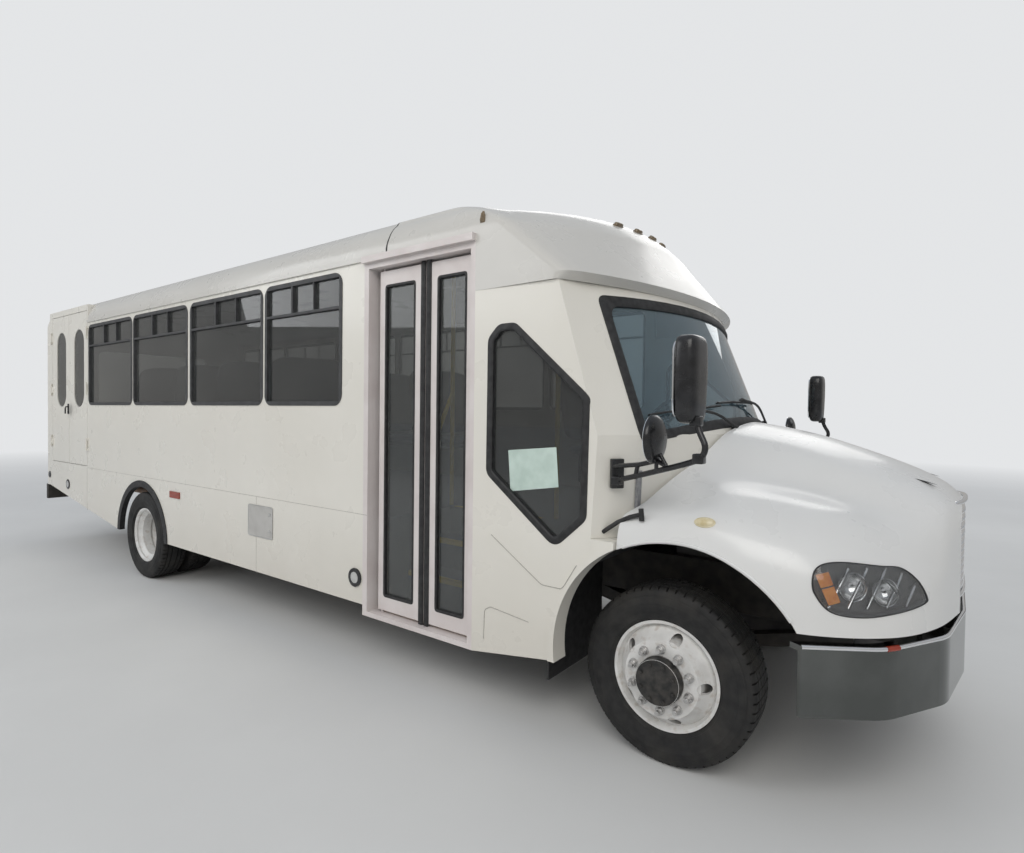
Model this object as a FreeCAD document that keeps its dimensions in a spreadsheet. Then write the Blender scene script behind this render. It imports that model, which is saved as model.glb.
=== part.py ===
import FreeCAD, Part
import math
import os
import Sketcher
from FreeCAD import Placement, Rotation, Vector

os.makedirs("parts", exist_ok=True)
doc = FreeCAD.newDocument("minibus")
sheet = doc.addObject("Spreadsheet::Sheet", "Sizes")


class Size:
    """A length that carries its value and the sheet expression that gives it."""

    def __init__(self, value, text):
        self.value = float(value)
        self.text = text

    def __add__(self, other):
        other = as_size(other)
        return Size(self.value + other.value, "(%s + %s)" % (self.text, other.text))

    def __radd__(self, other):
        return as_size(other) + self

    def __sub__(self, other):
        other = as_size(other)
        return Size(self.value - other.value, "(%s - %s)" % (self.text, other.text))

    def __rsub__(self, other):
        return as_size(other) - self

    def __mul__(self, factor):
        return Size(self.value * factor, "(%s * %s)" % (self.text, repr(float(factor))))

    def __rmul__(self, factor):
        return self * factor

    def __truediv__(self, factor):
        return Size(self.value / factor, "(%s / %s)" % (self.text, repr(float(factor))))

    def __neg__(self):
        return Size(-self.value, "(0 - %s)" % self.text)


def as_size(thing):
    if isinstance(thing, Size):
        return thing
    return Size(thing, repr(float(thing)))


class Sizes:
    """The named sizes, one attribute for each cell of the sheet."""


s = Sizes()
rows_used = [0]


def name_size(name, value):
    rows_used[0] += 1
    row = rows_used[0]
    sheet.set("A%d" % row, name)
    sheet.set("B%d" % row, str(value))
    sheet.setAlias("B%d" % row, name)
    setattr(s, name, Size(value, "Sizes." + name))


# Driving sizes in millimetres: name, value, meaning
DRIVING = [
    ("wheelbase", 5254, "front hub to rear hub"),
    ("front_overhang", 1130, "front hub to bumper face"),
    ("rear_overhang", 2796, "rear hub to rear bumper face"),
    ("half_width", 1220, "centre line to outer side"),
    ("wall", 40, "side wall thickness"),
    ("skirt_bottom", 412, "lower edge of the side skirts"),
    ("tail_bottom", 704, "lower edge of the skirt at the tail"),
    ("waist", 990, "joint between skirt and side wall"),
    ("gutter", 2620, "top of the side wall"),
    ("cove", 250, "radius of the roof edge"),
    ("crown", 50, "rise of the roof between its edges"),
    ("roof_joint", 1750, "front hub back to the roof joint"),
    ("body_back", 7870, "front hub back to the rear wall"),
    ("rear_wall_depth", 90, "thickness of the moulded rear wall"),
    ("floor_top", 960, "cabin floor"),
    ("floor_thick", 60, "thickness of the floor"),
    ("floor_front", 400, "front hub back to the floor's front edge"),
    ("sill", 1685, "lower edge of the side windows"),
    ("head", 2565, "upper edge of the side windows"),
    ("transom", 2335, "bar under the sliding lights"),
    ("window_corner", 80, "corner radius of the side windows"),
    ("frame_bar", 30, "width of the black window frame"),
    ("slim_bar", 18, "width of the thin bars"),
    ("frame_proud", 5, "window frame proud of the wall"),
    ("pane", 6, "thickness of glass"),
    ("shell_back", 1030, "front hub back to the moulded front shell"),
    ("shell_top", 2309, "joint between shell and roof cap"),
    ("tyre_radius", 419, "outer radius of the tyres"),
    ("tyre_width", 248, "section width of the tyres"),
    ("rim_radius", 248, "bead seat radius"),
    ("flange_radius", 260, "outer radius of the rim flange"),
    ("rim_width", 197, "rim width over its flanges"),
    ("dual_half", 143, "tyre centre to the mating face of twin wheels"),
    ("hub_height", 419, "hub centre above the ground"),
    ("front_track_half", 930, "centre line to front tyre centre"),
    ("rear_disc_plane", 940, "centre line to the mating face of the twins"),
    ("stud_circle", 142.875, "radius of the wheel stud circle"),
    ("hub_bore", 110, "radius of the wheel's pilot bore"),
    ("kingpin_half", 790, "centre line to the kingpin"),
    ("rail_half", 430, "centre line to the outer face of a frame rail"),
    ("rail_bottom", 600, "underside of the frame rails"),
    ("rail_top", 850, "top of the frame rails"),
    ("rail_flange", 76, "flange width of a rail"),
    ("rail_plate", 8, "plate thickness of a rail"),
    ("arch_radius", 585, "radius of the front wheel arch"),
    ("arch_ahead", 90, "arch centre ahead of the front hub"),
    ("arch_height", 500, "arch centre above the ground"),
    ("rear_arch_radius", 560, "radius of the rear wheel arch"),
    ("rear_arch_height", 430, "rear arch centre above the ground"),
    ("arch_lip", 60, "width of the rubber rear arch trim"),
    ("door_back", 1908, "front hub back to the rear jamb of the entry door"),
    ("jamb", 34, "width of an entry door jamb"),
    ("door_head", 2545, "underside of the entry door header"),
    ("door_sill", 375, "top of the entry door sill"),
    ("leaf_face", 1170, "centre line to the outer face of the entry leaves"),
    ("leaf_thick", 40, "thickness of the entry leaves"),
    ("leaf_gap", 17, "entry leaf to header and sill"),
    ("leaf_bar", 50, "width of an entry leaf's frame"),
    ("pivot_inset", 20, "door pivot from the leaf's edge"),
    ("run_gap", 0.3, "clearance at a pivot"),
    ("lift_front", 6650, "front hub back to the lift opening's front edge"),
    ("lift_back", 7785, "front hub back to the lift opening's rear edge"),
    ("lift_sill", 1005, "lower edge of the lift opening"),
    ("lift_head", 2735, "upper edge of the lift opening"),
    ("lift_top", 2800, "top of the lift door surround"),
    ("lift_wall_front", 6628, "front hub back to the lift door surround"),
    ("lift_gap", 6, "gap round the lift door leaves"),
    ("lift_pin_out", 14, "lift hinge pin proud of the side"),
    ("lift_pin_radius", 9, "radius of the lift hinge barrels"),
    ("hood_skin", 22, "thickness of the hood moulding"),
    ("hood_rear", 170, "front hub back to the hood's rear edge at its sides"),
    ("hood_gap", 14, "gap between hood and cowl"),
    ("hood_bottom", 800, "lower edge of the hood at the front"),
    ("hood_hinge_ahead", 1085, "front hub to the hood hinge"),
    ("hood_hinge_height", 780, "hood hinge above the ground"),
    ("cowl_bottom", 1060, "underside of the cowl moulding"),
    ("cowl_skin", 30, "thickness of the cowl moulding"),
    ("bumper_top", 761, "top edge of the front bumper"),
    ("bumper_bottom", 480, "lower edge of the front bumper"),
    ("bumper_plate", 12, "thickness of the front bumper"),
    ("bumper_roll", 45, "depth of the bumper's rolled top edge"),
    ("step_depth", 225, "tread depth of the entry steps"),
    ("step_plate", 30, "thickness of the entry steps"),
]
for name, value, meaning in DRIVING:
    name_size(name, value)

overall = s.front_overhang + s.wheelbase + s.rear_overhang
front_hub = overall / 2 - s.front_overhang
rear_hub = front_hub - s.wheelbase
wall_in = s.half_width - s.wall
waist = s.waist
solids = []


def ahead(distance):
    return front_hub + distance


def behind(distance):
    return front_hub - distance


# Sketches and features

PLANES = {"x": "YZ_Plane", "y": "XZ_Plane", "z": "XY_Plane"}
SENSE = {"x": 1, "y": -1, "z": 1}


def arc_between(start, end, radius, side):
    chord = end - start
    half = chord.Length / 2
    lift = math.sqrt(max(radius * radius - half * half, 0.0))
    across = Vector(-chord.y, chord.x, 0)
    across.normalize()
    centre = (start + end) * 0.5 + across * (lift * side)
    if side < 0:
        start, end = end, start
    first = math.atan2(start.y - centre.y, start.x - centre.x)
    last = math.atan2(end.y - centre.y, end.x - centre.x)
    circle = Part.Circle(centre, Vector(0, 0, 1), radius)
    return Part.ArcOfCircle(circle, first, last)


class Round:
    """A full circle in a sketch."""

    def __init__(self, x, y, radius):
        self.x = as_size(x)
        self.y = as_size(y)
        self.radius = as_size(radius)


class Piece:
    """One named body of the bus with its sketches and features."""

    def __init__(self, label):
        self.label = label
        self.body = doc.addObject("PartDesign::Body", label)
        self.body.Label = label
        self.body.AllowCompound = True
        self.count = 0
        solids.append((label, self.body))

    def sketch(self, axis, wires, offset, shift=None):
        self.count += 1
        sketch = self.body.newObject("Sketcher::SketchObject", "%s_sketch_%d" % (self.label, self.count))
        for plane in self.body.Origin.OriginFeatures:
            if plane.Role == PLANES[axis]:
                sketch.AttachmentSupport = [(plane, "")]
        sketch.MapMode = "FlatFace"
        offset = as_size(offset) * SENSE[axis]
        sketch.setExpression("AttachmentOffset.Base.z", offset.text)
        if shift is not None:
            sketch.setExpression("AttachmentOffset.Base.x", as_size(shift[0]).text)
            sketch.setExpression("AttachmentOffset.Base.y", as_size(shift[1]).text)
        for wire in wires:
            self.draw(sketch, wire)
        return sketch

    def draw(self, sketch, corners):
        if isinstance(corners, Round):
            self.draw_round(sketch, corners)
            return
        first = sketch.GeometryCount
        count = len(corners)
        corners = [(as_size(c[0]), as_size(c[1])) + tuple(c[2:]) for c in corners]
        spots = [Vector(c[0].value, c[1].value, 0) for c in corners]
        shapes = []
        heads = []
        for i in range(count):
            start = spots[i]
            end = spots[(i + 1) % count]
            head = 1
            if len(corners[i]) > 2:
                radius, side = corners[i][2]
                shapes.append(arc_between(start, end, as_size(radius).value, side))
                if side < 0:
                    head = 2
            else:
                shapes.append(Part.LineSegment(start, end))
            heads.append(head)
        sketch.addGeometry(shapes)
        links = []
        bound = []
        base = sketch.ConstraintCount
        for i in range(count):
            j = (i + 1) % count
            here = first + i
            links.append(Sketcher.Constraint("Coincident", here, 3 - heads[i], first + j, heads[j]))
            bound.append((base + len(links), corners[i][0].text))
            links.append(Sketcher.Constraint("DistanceX", -1, 1, here, heads[i], spots[i].x))
            bound.append((base + len(links), corners[i][1].text))
            links.append(Sketcher.Constraint("DistanceY", -1, 1, here, heads[i], spots[i].y))
            if len(corners[i]) > 2:
                radius = as_size(corners[i][2][0])
                span = spots[j] - spots[i]
                if 2 * radius.value - span.Length > 0.001:
                    bound.append((base + len(links), radius.text))
                    links.append(Sketcher.Constraint("Radius", here, radius.value))
                elif abs(span.x) > abs(span.y):
                    bound.append((base + len(links), corners[i][1].text))
                    links.append(Sketcher.Constraint("DistanceY", -1, 1, here, 3, spots[i].y))
                else:
                    bound.append((base + len(links), corners[i][0].text))
                    links.append(Sketcher.Constraint("DistanceX", -1, 1, here, 3, spots[i].x))
        self.bind(sketch, links, bound)

    def draw_round(self, sketch, spot):
        here = sketch.GeometryCount
        base = sketch.ConstraintCount
        centre = Vector(spot.x.value, spot.y.value, 0)
        sketch.addGeometry(Part.Circle(centre, Vector(0, 0, 1), spot.radius.value))
        links = [
            Sketcher.Constraint("DistanceX", -1, 1, here, 3, spot.x.value),
            Sketcher.Constraint("DistanceY", -1, 1, here, 3, spot.y.value),
            Sketcher.Constraint("Radius", here, spot.radius.value),
        ]
        texts = [spot.x.text, spot.y.text, spot.radius.text]
        self.bind(sketch, links, [(base + i, texts[i]) for i in range(len(texts))])

    def bind(self, sketch, links, bound):
        sketch.addConstraint(links)
        for index, text in bound:
            if "Sizes." in text:
                sketch.setExpression("Constraints[%d]" % index, text)

    def feature(self, kind):
        return self.body.newObject("PartDesign::" + kind, "%s_%s_%d" % (self.label, kind, self.count))

    def pad(self, axis, wires, low, high):
        low = as_size(low)
        high = as_size(high)
        start = high if axis == "y" else low
        profile = self.sketch(axis, wires, start)
        pad = self.feature("Pad")
        pad.Profile = profile
        pad.Length = (high - low).value
        pad.setExpression("Length", (high - low).text)
        return pad

    def pocket(self, axis, wires, low, high):
        low = as_size(low)
        high = as_size(high)
        start = low if axis == "y" else high
        profile = self.sketch(axis, wires, start)
        pocket = self.feature("Pocket")
        pocket.Profile = profile
        pocket.Length = (high - low).value
        pocket.setExpression("Length", (high - low).text)
        return pocket

    def revolve(self, wire, x, z, cut=False):
        profile = self.sketch("z", [wire], z, (x, 0))
        turn = self.feature("Groove" if cut else "Revolution")
        turn.Profile = profile
        turn.ReferenceAxis = (profile, ["V_Axis"])
        turn.Angle = 360
        return turn

    def loft(self, axis, sections, cut=False):
        profiles = [self.sketch(axis, [wire], offset) for offset, wire in sections]
        loft = self.feature("SubtractiveLoft" if cut else "AdditiveLoft")
        loft.Profile = profiles[0]
        loft.Sections = profiles[1:]
        loft.Ruled = True
        return loft


def rectangle(u_low, u_high, v_low, v_high, corner=None):
    u_low = as_size(u_low)
    u_high = as_size(u_high)
    v_low = as_size(v_low)
    v_high = as_size(v_high)
    if corner is None:
        return [(u_low, v_low), (u_high, v_low), (u_high, v_high), (u_low, v_high)]
    turn = (corner, 1)
    return [
        (u_low + corner, v_low),
        (u_high - corner, v_low, turn),
        (u_high, v_low + corner),
        (u_high, v_high - corner, turn),
        (u_high - corner, v_high),
        (u_low + corner, v_high, turn),
        (u_low, v_high - corner),
        (u_low, v_low + corner, turn),
    ]


def softened(points, radius):
    """The outline with rounded corners: one radius, or one for each corner with 0 for a sharp one."""
    out = []
    count = len(points)
    for i, (u, v) in enumerate(points):
        size = radius[i] if isinstance(radius, list) else radius
        u = as_size(u)
        v = as_size(v)
        if size == 0:
            out.append((u, v))
            continue
        here = Vector(u.value, v.value, 0)
        before = Vector(*[as_size(c).value for c in points[i - 1][:2]], 0) - here
        after = Vector(*[as_size(c).value for c in points[(i + 1) % count][:2]], 0) - here
        reach = size / math.tan(before.getAngle(after) / 2)
        before.normalize()
        after.normalize()
        side = 1 if (before.cross(after)).z < 0 else -1
        out.append((u + before.x * reach, v + before.y * reach, (as_size(size), side)))
        out.append((u + after.x * reach, v + after.y * reach))
    return out


def flipped(wire):
    """The same outline seen from the other side, with the first coordinate negated."""
    out = []
    count = len(wire)
    for i in range(count):
        corner = wire[(count - i) % count]
        before = wire[(count - i - 1) % count]
        point = (-as_size(corner[0]), corner[1])
        if len(before) > 2:
            point = point + ((before[2][0], before[2][1]),)
        out.append(point)
    return out


def group(label, members, kind="Part::Compound"):
    """One node made of several primitives, kept apart or fused."""
    whole = doc.addObject(kind, label)
    whole.Label = label
    if kind == "Part::Compound":
        whole.Links = members
    else:
        whole.Shapes = members
    solids.append((label, whole))
    return whole


# Side windows behind the front hub: name, rear edge, front edge, thick divider, thin divider
RIGHT_WINDOWS = [
    ("window_1", 6606, 5459, 0.38, 0.66),
    ("window_2", 5435, 4305, 0.38, 0.66),
    ("window_3", 4261, 3114, 0.38, 0.66),
    ("window_4", 3086, 2170, 0.38, 0.66),
]
LEFT_ONLY_WINDOWS = [
    ("window_0", 7760, 6640, 0.38, 0.66),
    ("window_5", 2120, 1120, 0.38, 0.66),
]
for name, rear_edge, front_edge, thick, thin in RIGHT_WINDOWS + LEFT_ONLY_WINDOWS:
    name_size(name + "_rear", rear_edge)
    name_size(name + "_front", front_edge)


def window_span(row):
    return behind(getattr(s, row[0] + "_rear")), behind(getattr(s, row[0] + "_front"))


def window_wire(row, inset=0, low=None, high=None):
    rear, front = window_span(row)
    bottom = s.sill + inset if low is None else low
    top = s.head - inset if high is None else high
    return rear + inset, front - inset, bottom, top


def window_hole(row):
    rear, front, bottom, top = window_wire(row)
    return rectangle(rear, front, bottom, top, s.window_corner)


right_back = behind(s.lift_wall_front)
body_back = behind(s.body_back)
door_back = behind(s.door_back)
jamb_back = door_back - s.jamb - 8
shell_back = behind(s.shell_back)

# Chassis rails with their cross members
rails = Piece("frame_rails")
rail_start = body_back + 60
rail_end = ahead(1050)
inner = s.rail_half - s.rail_flange
web = s.rail_half - s.rail_plate
channel = [
    (inner, s.rail_bottom),
    (s.rail_half, s.rail_bottom),
    (s.rail_half, s.rail_top),
    (inner, s.rail_top),
    (inner, s.rail_top - s.rail_plate),
    (web, s.rail_top - s.rail_plate),
    (web, s.rail_bottom + s.rail_plate),
    (inner, s.rail_bottom + s.rail_plate),
]
rails.pad("x", [channel, flipped(channel)], rail_start, rail_end)
name_size("member_depth", 50)
name_size("member_edge", 30)
CROSS_MEMBERS = [-7700, -6300, -4700, -3500, -2300, -1100, 950]
members = Piece("cross_members")
member_wires = [rectangle(ahead(place), ahead(place) + s.member_depth, -web, web) for place in CROSS_MEMBERS]
members.pad("z", member_wires[:-1], s.rail_bottom + s.member_edge, s.rail_top - s.member_edge)
rails.pad("z", member_wires[-1:], s.rail_bottom + s.member_edge, s.rail_top - s.member_edge)
name_size("horn_in", 80)
name_size("horn_out", 200)
name_size("horn_low", 640)
name_size("horn_high", 735)
bumper_inner = ahead(s.front_overhang - s.bumper_plate)
horn = rectangle(s.horn_in, s.horn_out, s.horn_low, s.horn_high)
rails.pad("x", [horn, flipped(horn)], ahead(950) + s.member_depth, bumper_inner)
hinge_x = ahead(s.hood_hinge_ahead)
hinge_z = s.hood_hinge_height
name_size("hinge_radius", 13)
name_size("hinge_inner", 300)
name_size("hinge_joint", 330)
name_size("hinge_outer", 360)
name_size("hinge_arm", 12)
arm_profile = [
    (ahead(950) + s.member_depth, s.rail_bottom + s.member_edge),
    (ahead(950) + s.member_depth + s.member_edge, s.rail_bottom + s.member_edge),
    (ahead(950) + s.member_depth + s.member_edge, hinge_z - s.hinge_arm),
    (hinge_x, hinge_z - s.hinge_radius, (s.hinge_radius, 1)),
    (hinge_x, hinge_z + s.hinge_radius),
    (ahead(950) + s.member_depth, hinge_z + s.hinge_arm),
]
rails.pad("y", [arm_profile], -s.hinge_joint, -s.hinge_inner)
rails.pad("y", [arm_profile], s.hinge_inner, s.hinge_joint)

# Floor with its beams and the well for the entry steps
floor = Piece("floor")
well_back = door_back + 20
well_front = shell_back - s.jamb - 14
frame_in = -(s.leaf_face - s.leaf_thick - 10)
well_inner = frame_in + s.step_depth * 3
floor_low = s.floor_top - s.floor_thick
plan = [
    (body_back, -wall_in),
    (jamb_back, -wall_in),
    (jamb_back, frame_in),
    (well_back, frame_in),
    (well_back, well_inner),
    (well_front, well_inner),
    (well_front, frame_in),
    (shell_back, frame_in),
    (shell_back, -wall_in),
    (behind(s.floor_front), -wall_in),
    (behind(s.floor_front), wall_in),
    (body_back, wall_in),
]
floor.pad("z", [plan], floor_low, s.floor_top)
name_size("beam_width", 60)
BEAMS = [-7500, -6300, -4300, -3700, -3000, -2300]
beam_wires = []
for place in BEAMS:
    beam_wires.append(rectangle(ahead(place), ahead(place) + s.beam_width, -wall_in, wall_in))
floor.pad("z", beam_wires, s.rail_top, floor_low)

# Entry steps: tread heights rising inwards
steps = Piece("entry_steps")
name_size("step_low", 385)
name_size("step_mid", 577)
name_size("step_high", 769)
y_outer = frame_in
y_one = y_outer + s.step_depth
y_two = y_one + s.step_depth
y_three = y_two + s.step_depth
tread = s.step_plate
stair = [
    (y_outer, s.step_low - tread),
    (y_one + tread, s.step_low - tread),
    (y_one + tread, s.step_mid - tread),
    (y_two + tread, s.step_mid - tread),
    (y_two + tread, s.step_high - tread),
    (y_three - 0.5, s.step_high - tread),
    (y_three - 0.5, s.floor_top),
    (y_three - tread, s.floor_top),
    (y_three - tread, s.step_high),
    (y_two, s.step_high),
    (y_two, s.step_mid),
    (y_one, s.step_mid),
    (y_one, s.step_low),
    (y_outer, s.step_low),
]
steps.pad("x", [stair], well_back + 1, well_front - 1)
cheek = [
    (y_outer, s.step_low - tread),
    (y_one, s.step_low - tread),
    (y_three - 0.5, s.step_high - tread),
    (y_three - 0.5, s.floor_top),
    (y_outer, s.floor_top),
]
steps.pad("x", [cheek], well_back + 1, well_back + 13)
steps.pad("x", [cheek], well_front - 13, well_front - 1)

# Side walls above the waist
right_wall = Piece("side_wall_right")
right_outline = rectangle(right_back, jamb_back, waist, s.gutter)
right_wall.pad("y", [right_outline], -s.half_width, -wall_in)
for row in RIGHT_WINDOWS:
    right_wall.pocket("y", [window_hole(row)], -s.half_width, -wall_in)

left_wall = Piece("side_wall_left")
left_outline = rectangle(body_back, shell_back, waist, s.gutter)
left_wall.pad("y", [left_outline], wall_in, s.half_width)
for row in RIGHT_WINDOWS + LEFT_ONLY_WINDOWS:
    left_wall.pocket("y", [window_hole(row)], wall_in, s.half_width)

# Skirts below the waist with the rear wheel arches
rear_arch_z = s.rear_arch_height
skirts = Piece("skirts")


def arch_reach(radius, level):
    rise = (level - rear_arch_z).value
    return math.sqrt(radius.value ** 2 - rise ** 2)


arch_rear = rear_hub - arch_reach(s.rear_arch_radius, s.skirt_bottom)
arch_front = rear_hub + arch_reach(s.rear_arch_radius, s.skirt_bottom)


def skirt_wire(front_end):
    return [
        (body_back, waist),
        (body_back, s.tail_bottom),
        (arch_rear, s.skirt_bottom, (s.rear_arch_radius, -1)),
        (arch_front, s.skirt_bottom),
        (front_end, s.skirt_bottom),
        (front_end, waist),
    ]


skirts.pad("y", [skirt_wire(jamb_back)], -s.half_width, -wall_in)
skirts.pad("y", [skirt_wire(shell_back)], wall_in, s.half_width)

# Rubber trims round the rear arches and the mud flaps behind the front wheels
trims = Piece("rubber_trims")
lip_low = s.skirt_bottom
lip_inner = s.rear_arch_radius - s.arch_lip
lip = [
    (rear_hub + arch_reach(lip_inner, lip_low), lip_low),
    (arch_front - 1, lip_low, (s.rear_arch_radius - 1, 1)),
    (arch_rear + 1, lip_low),
    (rear_hub - arch_reach(lip_inner, lip_low), lip_low, (lip_inner, -1)),
]
trims.pad("y", [lip], -s.half_width - 8, -wall_in)
trims.pad("y", [lip], wall_in, s.half_width + 8)
name_size("flap_low", 300)
name_size("flap_high", 880)
name_size("flap_thick", 10)
name_size("flap_back", 560)
flap_x = behind(s.flap_back)
trims.pad("x", [rectangle(-wall_in, -620, s.flap_low, s.flap_high)], flap_x, flap_x + s.flap_thick)
trims.pad("x", [rectangle(620, wall_in, s.flap_low, s.flap_high)], flap_x, flap_x + s.flap_thick)

# Surround of the lift doors
surround = Piece("lift_door_frame")
lift_rear = behind(s.lift_back)
lift_fore = behind(s.lift_front)
lift_hole = rectangle(lift_rear, lift_fore, s.lift_sill, s.lift_head)
lift_outline = rectangle(body_back, right_back, waist, s.lift_top)
surround.pad("y", [lift_outline, lift_hole], -s.half_width, -wall_in)
name_size("brow_depth", 120)
name_size("brow_thick", 40)
brow_in = -s.half_width + s.brow_depth
brow_low = s.lift_top - s.brow_thick
brow = rectangle(-wall_in, brow_in, brow_low, s.lift_top)
surround.pad("x", [brow], body_back, right_back)
name_size("lift_hinge_half", 40)
name_size("lift_hinge_end", 70)
name_size("lift_strap", 6)
LIFT_HINGES = [1250, 1870, 2490]
pin_y = -s.half_width - s.lift_pin_out
strap_y = -s.half_width - s.lift_strap


def lift_hinge(piece, pin_x, direction, on_leaf):
    """Barrels on one pin line; the straps run the given way from the pin."""
    radius = s.lift_pin_radius
    reach = pin_x + radius * (4 * direction)
    low, high = (pin_x, reach) if direction > 0 else (reach, pin_x)
    for level in LIFT_HINGES:
        if on_leaf:
            spans = [(as_size(level) - s.lift_hinge_half, as_size(level) + s.lift_hinge_half)]
        else:
            spans = [
                (as_size(level) - s.lift_hinge_end, as_size(level) - s.lift_hinge_half - s.run_gap),
                (as_size(level) + s.lift_hinge_half + s.run_gap, as_size(level) + s.lift_hinge_end),
            ]
        for bottom, top in spans:
            piece.pad("z", [Round(pin_x, pin_y, radius)], bottom, top)
            strap = rectangle(low, high, strap_y, -s.half_width)
            piece.pad("z", [strap], bottom, top)
            if direction > 0:
                neck = rectangle(pin_x, pin_x + radius, pin_y, strap_y)
            else:
                neck = rectangle(pin_x - radius, pin_x, pin_y, strap_y)
            piece.pad("z", [neck], bottom, top)


rear_pin_x = lift_rear - s.lift_gap
fore_pin_x = lift_fore + s.lift_gap
lift_hinge(surround, rear_pin_x, -1, False)
lift_hinge(surround, fore_pin_x, 1, False)

# Lift door leaves with rounded lights
lift_mid = (lift_rear + lift_fore) / 2
name_size("light_low", 1664)
name_size("light_high", 2542)
name_size("rear_light_back", 7619)
name_size("rear_light_front", 7312)
name_size("fore_light_back", 7052)
name_size("fore_light_front", 6745)
LIFT_LEAVES = [
    ("lift_leaf_rear", "rear_light", lift_rear + s.lift_gap, lift_mid - s.lift_gap / 2, rear_pin_x, 1),
    ("lift_leaf_front", "fore_light", lift_mid + s.lift_gap / 2, lift_fore - s.lift_gap, fore_pin_x, -1),
]
for label, light, low_x, high_x, pin_x, direction in LIFT_LEAVES:
    leaf = Piece(label)
    light_low = behind(getattr(s, light + "_back"))
    light_high = behind(getattr(s, light + "_front"))
    radius = (light_high - light_low) / 2
    hole = [
        (light_high, s.light_low + radius),
        (light_high, s.light_high - radius, (radius, 1)),
        (light_low, s.light_high - radius),
        (light_low, s.light_low + radius, (radius, 1)),
    ]
    outline = rectangle(low_x, high_x, s.lift_sill + s.lift_gap, s.lift_head - s.lift_gap)
    leaf.pad("y", [outline, hole], -s.half_width, -wall_in + 5)
    lift_hinge(leaf, pin_x, direction, True)
    glass = Piece(label.replace("leaf", "glass"))
    glass.pad("y", [hole], -s.half_width + 8, -s.half_width + 8 + s.pane)

# Entry door frame: jambs, header and sill
frame = Piece("entry_door_frame")
name_size("sill_thick", 30)
portal = rectangle(jamb_back, shell_back, s.door_sill - s.sill_thick, s.gutter)
clear = rectangle(door_back, shell_back - s.jamb, s.door_sill, s.door_head)
frame.pad("y", [portal, clear], -s.half_width, frame_in)
name_size("rail_out", 30)
name_size("rail_high", 40)
door_rail = rectangle(jamb_back, shell_back, s.gutter - s.rail_high, s.gutter)
frame.pad("y", [door_rail], -s.half_width - s.rail_out, -s.half_width)

# Entry door leaves: label, glass, rear edge, front edge, rubber side, pivot side
name_size("leaf_rear_back", 1856)
name_size("leaf_rear_front", 1453)
name_size("leaf_front_back", 1447)
name_size("leaf_front_front", 1085)
name_size("rubber", 40)
name_size("leaf_foot", 90)
name_size("pivot_radius", 8)
ENTRY_LEAVES = [
    ("entry_leaf_rear", s.leaf_rear_back, s.leaf_rear_front, s.leaf_bar, s.rubber + s.leaf_bar, 1),
    ("entry_leaf_front", s.leaf_front_back, s.leaf_front_front, s.rubber + s.leaf_bar, s.leaf_bar, -1),
]
leaf_low = s.door_sill + s.leaf_gap
leaf_high = s.door_head - s.leaf_gap
leaf_out = -s.leaf_face
leaf_in = -(s.leaf_face - s.leaf_thick)
leaf_mid = -(s.leaf_face - s.leaf_thick / 2)
for label, back, fore, back_bar, fore_bar, direction in ENTRY_LEAVES:
    leaf = Piece(label)
    low_x = behind(back)
    high_x = behind(fore)
    hole_low = leaf_low + s.leaf_foot
    hole_high = leaf_high - s.leaf_foot
    hole = rectangle(low_x + back_bar, high_x - fore_bar, hole_low, hole_high)
    leaf.pad("y", [rectangle(low_x, high_x, leaf_low, leaf_high), hole], leaf_out, leaf_in)
    if direction > 0:
        pivot_x = low_x + s.pivot_inset
    else:
        pivot_x = high_x - s.pivot_inset
    pin = Round(pivot_x, leaf_mid, s.pivot_radius)
    leaf.pad("z", [pin], s.door_sill + s.run_gap, leaf_low)
    leaf.pad("z", [pin], leaf_high, s.door_head - s.run_gap)
    glass = Piece(label.replace("leaf", "glass"))
    glass.pad("y", [hole], leaf_mid - s.pane / 2, leaf_mid + s.pane / 2)

# Roof shell from its cross-section
name_size("roof_skin", 40)
deck_half = s.half_width - s.cove
cove_top = s.gutter + s.cove


def crown_radius(half, rise):
    return (half * half + rise * rise) / (2 * rise)


crown_outer = crown_radius(deck_half.value, s.crown.value)
crown_inner = crown_radius(deck_half.value, s.crown.value)
cove_in = s.cove - s.roof_skin
roof_section = [
    (s.half_width, s.gutter, (s.cove, 1)),
    (deck_half, cove_top, (crown_outer, 1)),
    (-deck_half, cove_top, (s.cove, 1)),
    (-s.half_width, s.gutter),
    (-(s.half_width - s.roof_skin), s.gutter, (cove_in, -1)),
    (-deck_half, cove_top - s.roof_skin, (crown_inner, -1)),
    (deck_half, cove_top - s.roof_skin, (cove_in, -1)),
    (s.half_width - s.roof_skin, s.gutter),
]
roof = Piece("roof")
roof_front = behind(s.roof_joint)
roof.pad("x", [roof_section], body_back, roof_front)
notch = rectangle(-s.half_width - 1, brow_in, s.gutter - 1, s.lift_top)
roof.pocket("x", [notch], body_back, right_back)

# Moulded front cap: height, side point, corner point, centre point, half widths and flare over the shell
CAP = [
    ("cap_0", 2309, 500, 462, 1165, 200, 1220, 16),
    ("cap_1", 2345, 460, 400, 1140, 160, 1220, 16),
    ("cap_2", 2600, 770, 690, 1115, 360, 1220, 0),
    ("cap_3", 2700, 900, 815, 1080, 435, 1205, 0),
    ("cap_4", 2800, 1100, 1000, 1000, 550, 1140, 0),
    ("cap_5", 2860, 1300, 1200, 830, 700, 1000, 0),
    ("cap_6", 2920, 1500, 1450, 160, 1250, 200, 0),
]
for name, level, side, corner, corner_half, centre, half, flare in CAP:
    name_size(name + "_flare", flare)
    name_size(name + "_level", level)
    name_size(name + "_side", side)
    name_size(name + "_corner", corner)
    name_size(name + "_corner_half", corner_half)
    name_size(name + "_centre", centre)
    name_size(name + "_half", half)


def bow_radius(half, rise):
    return (half.value ** 2 + rise.value ** 2) / (2 * rise.value)


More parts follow.
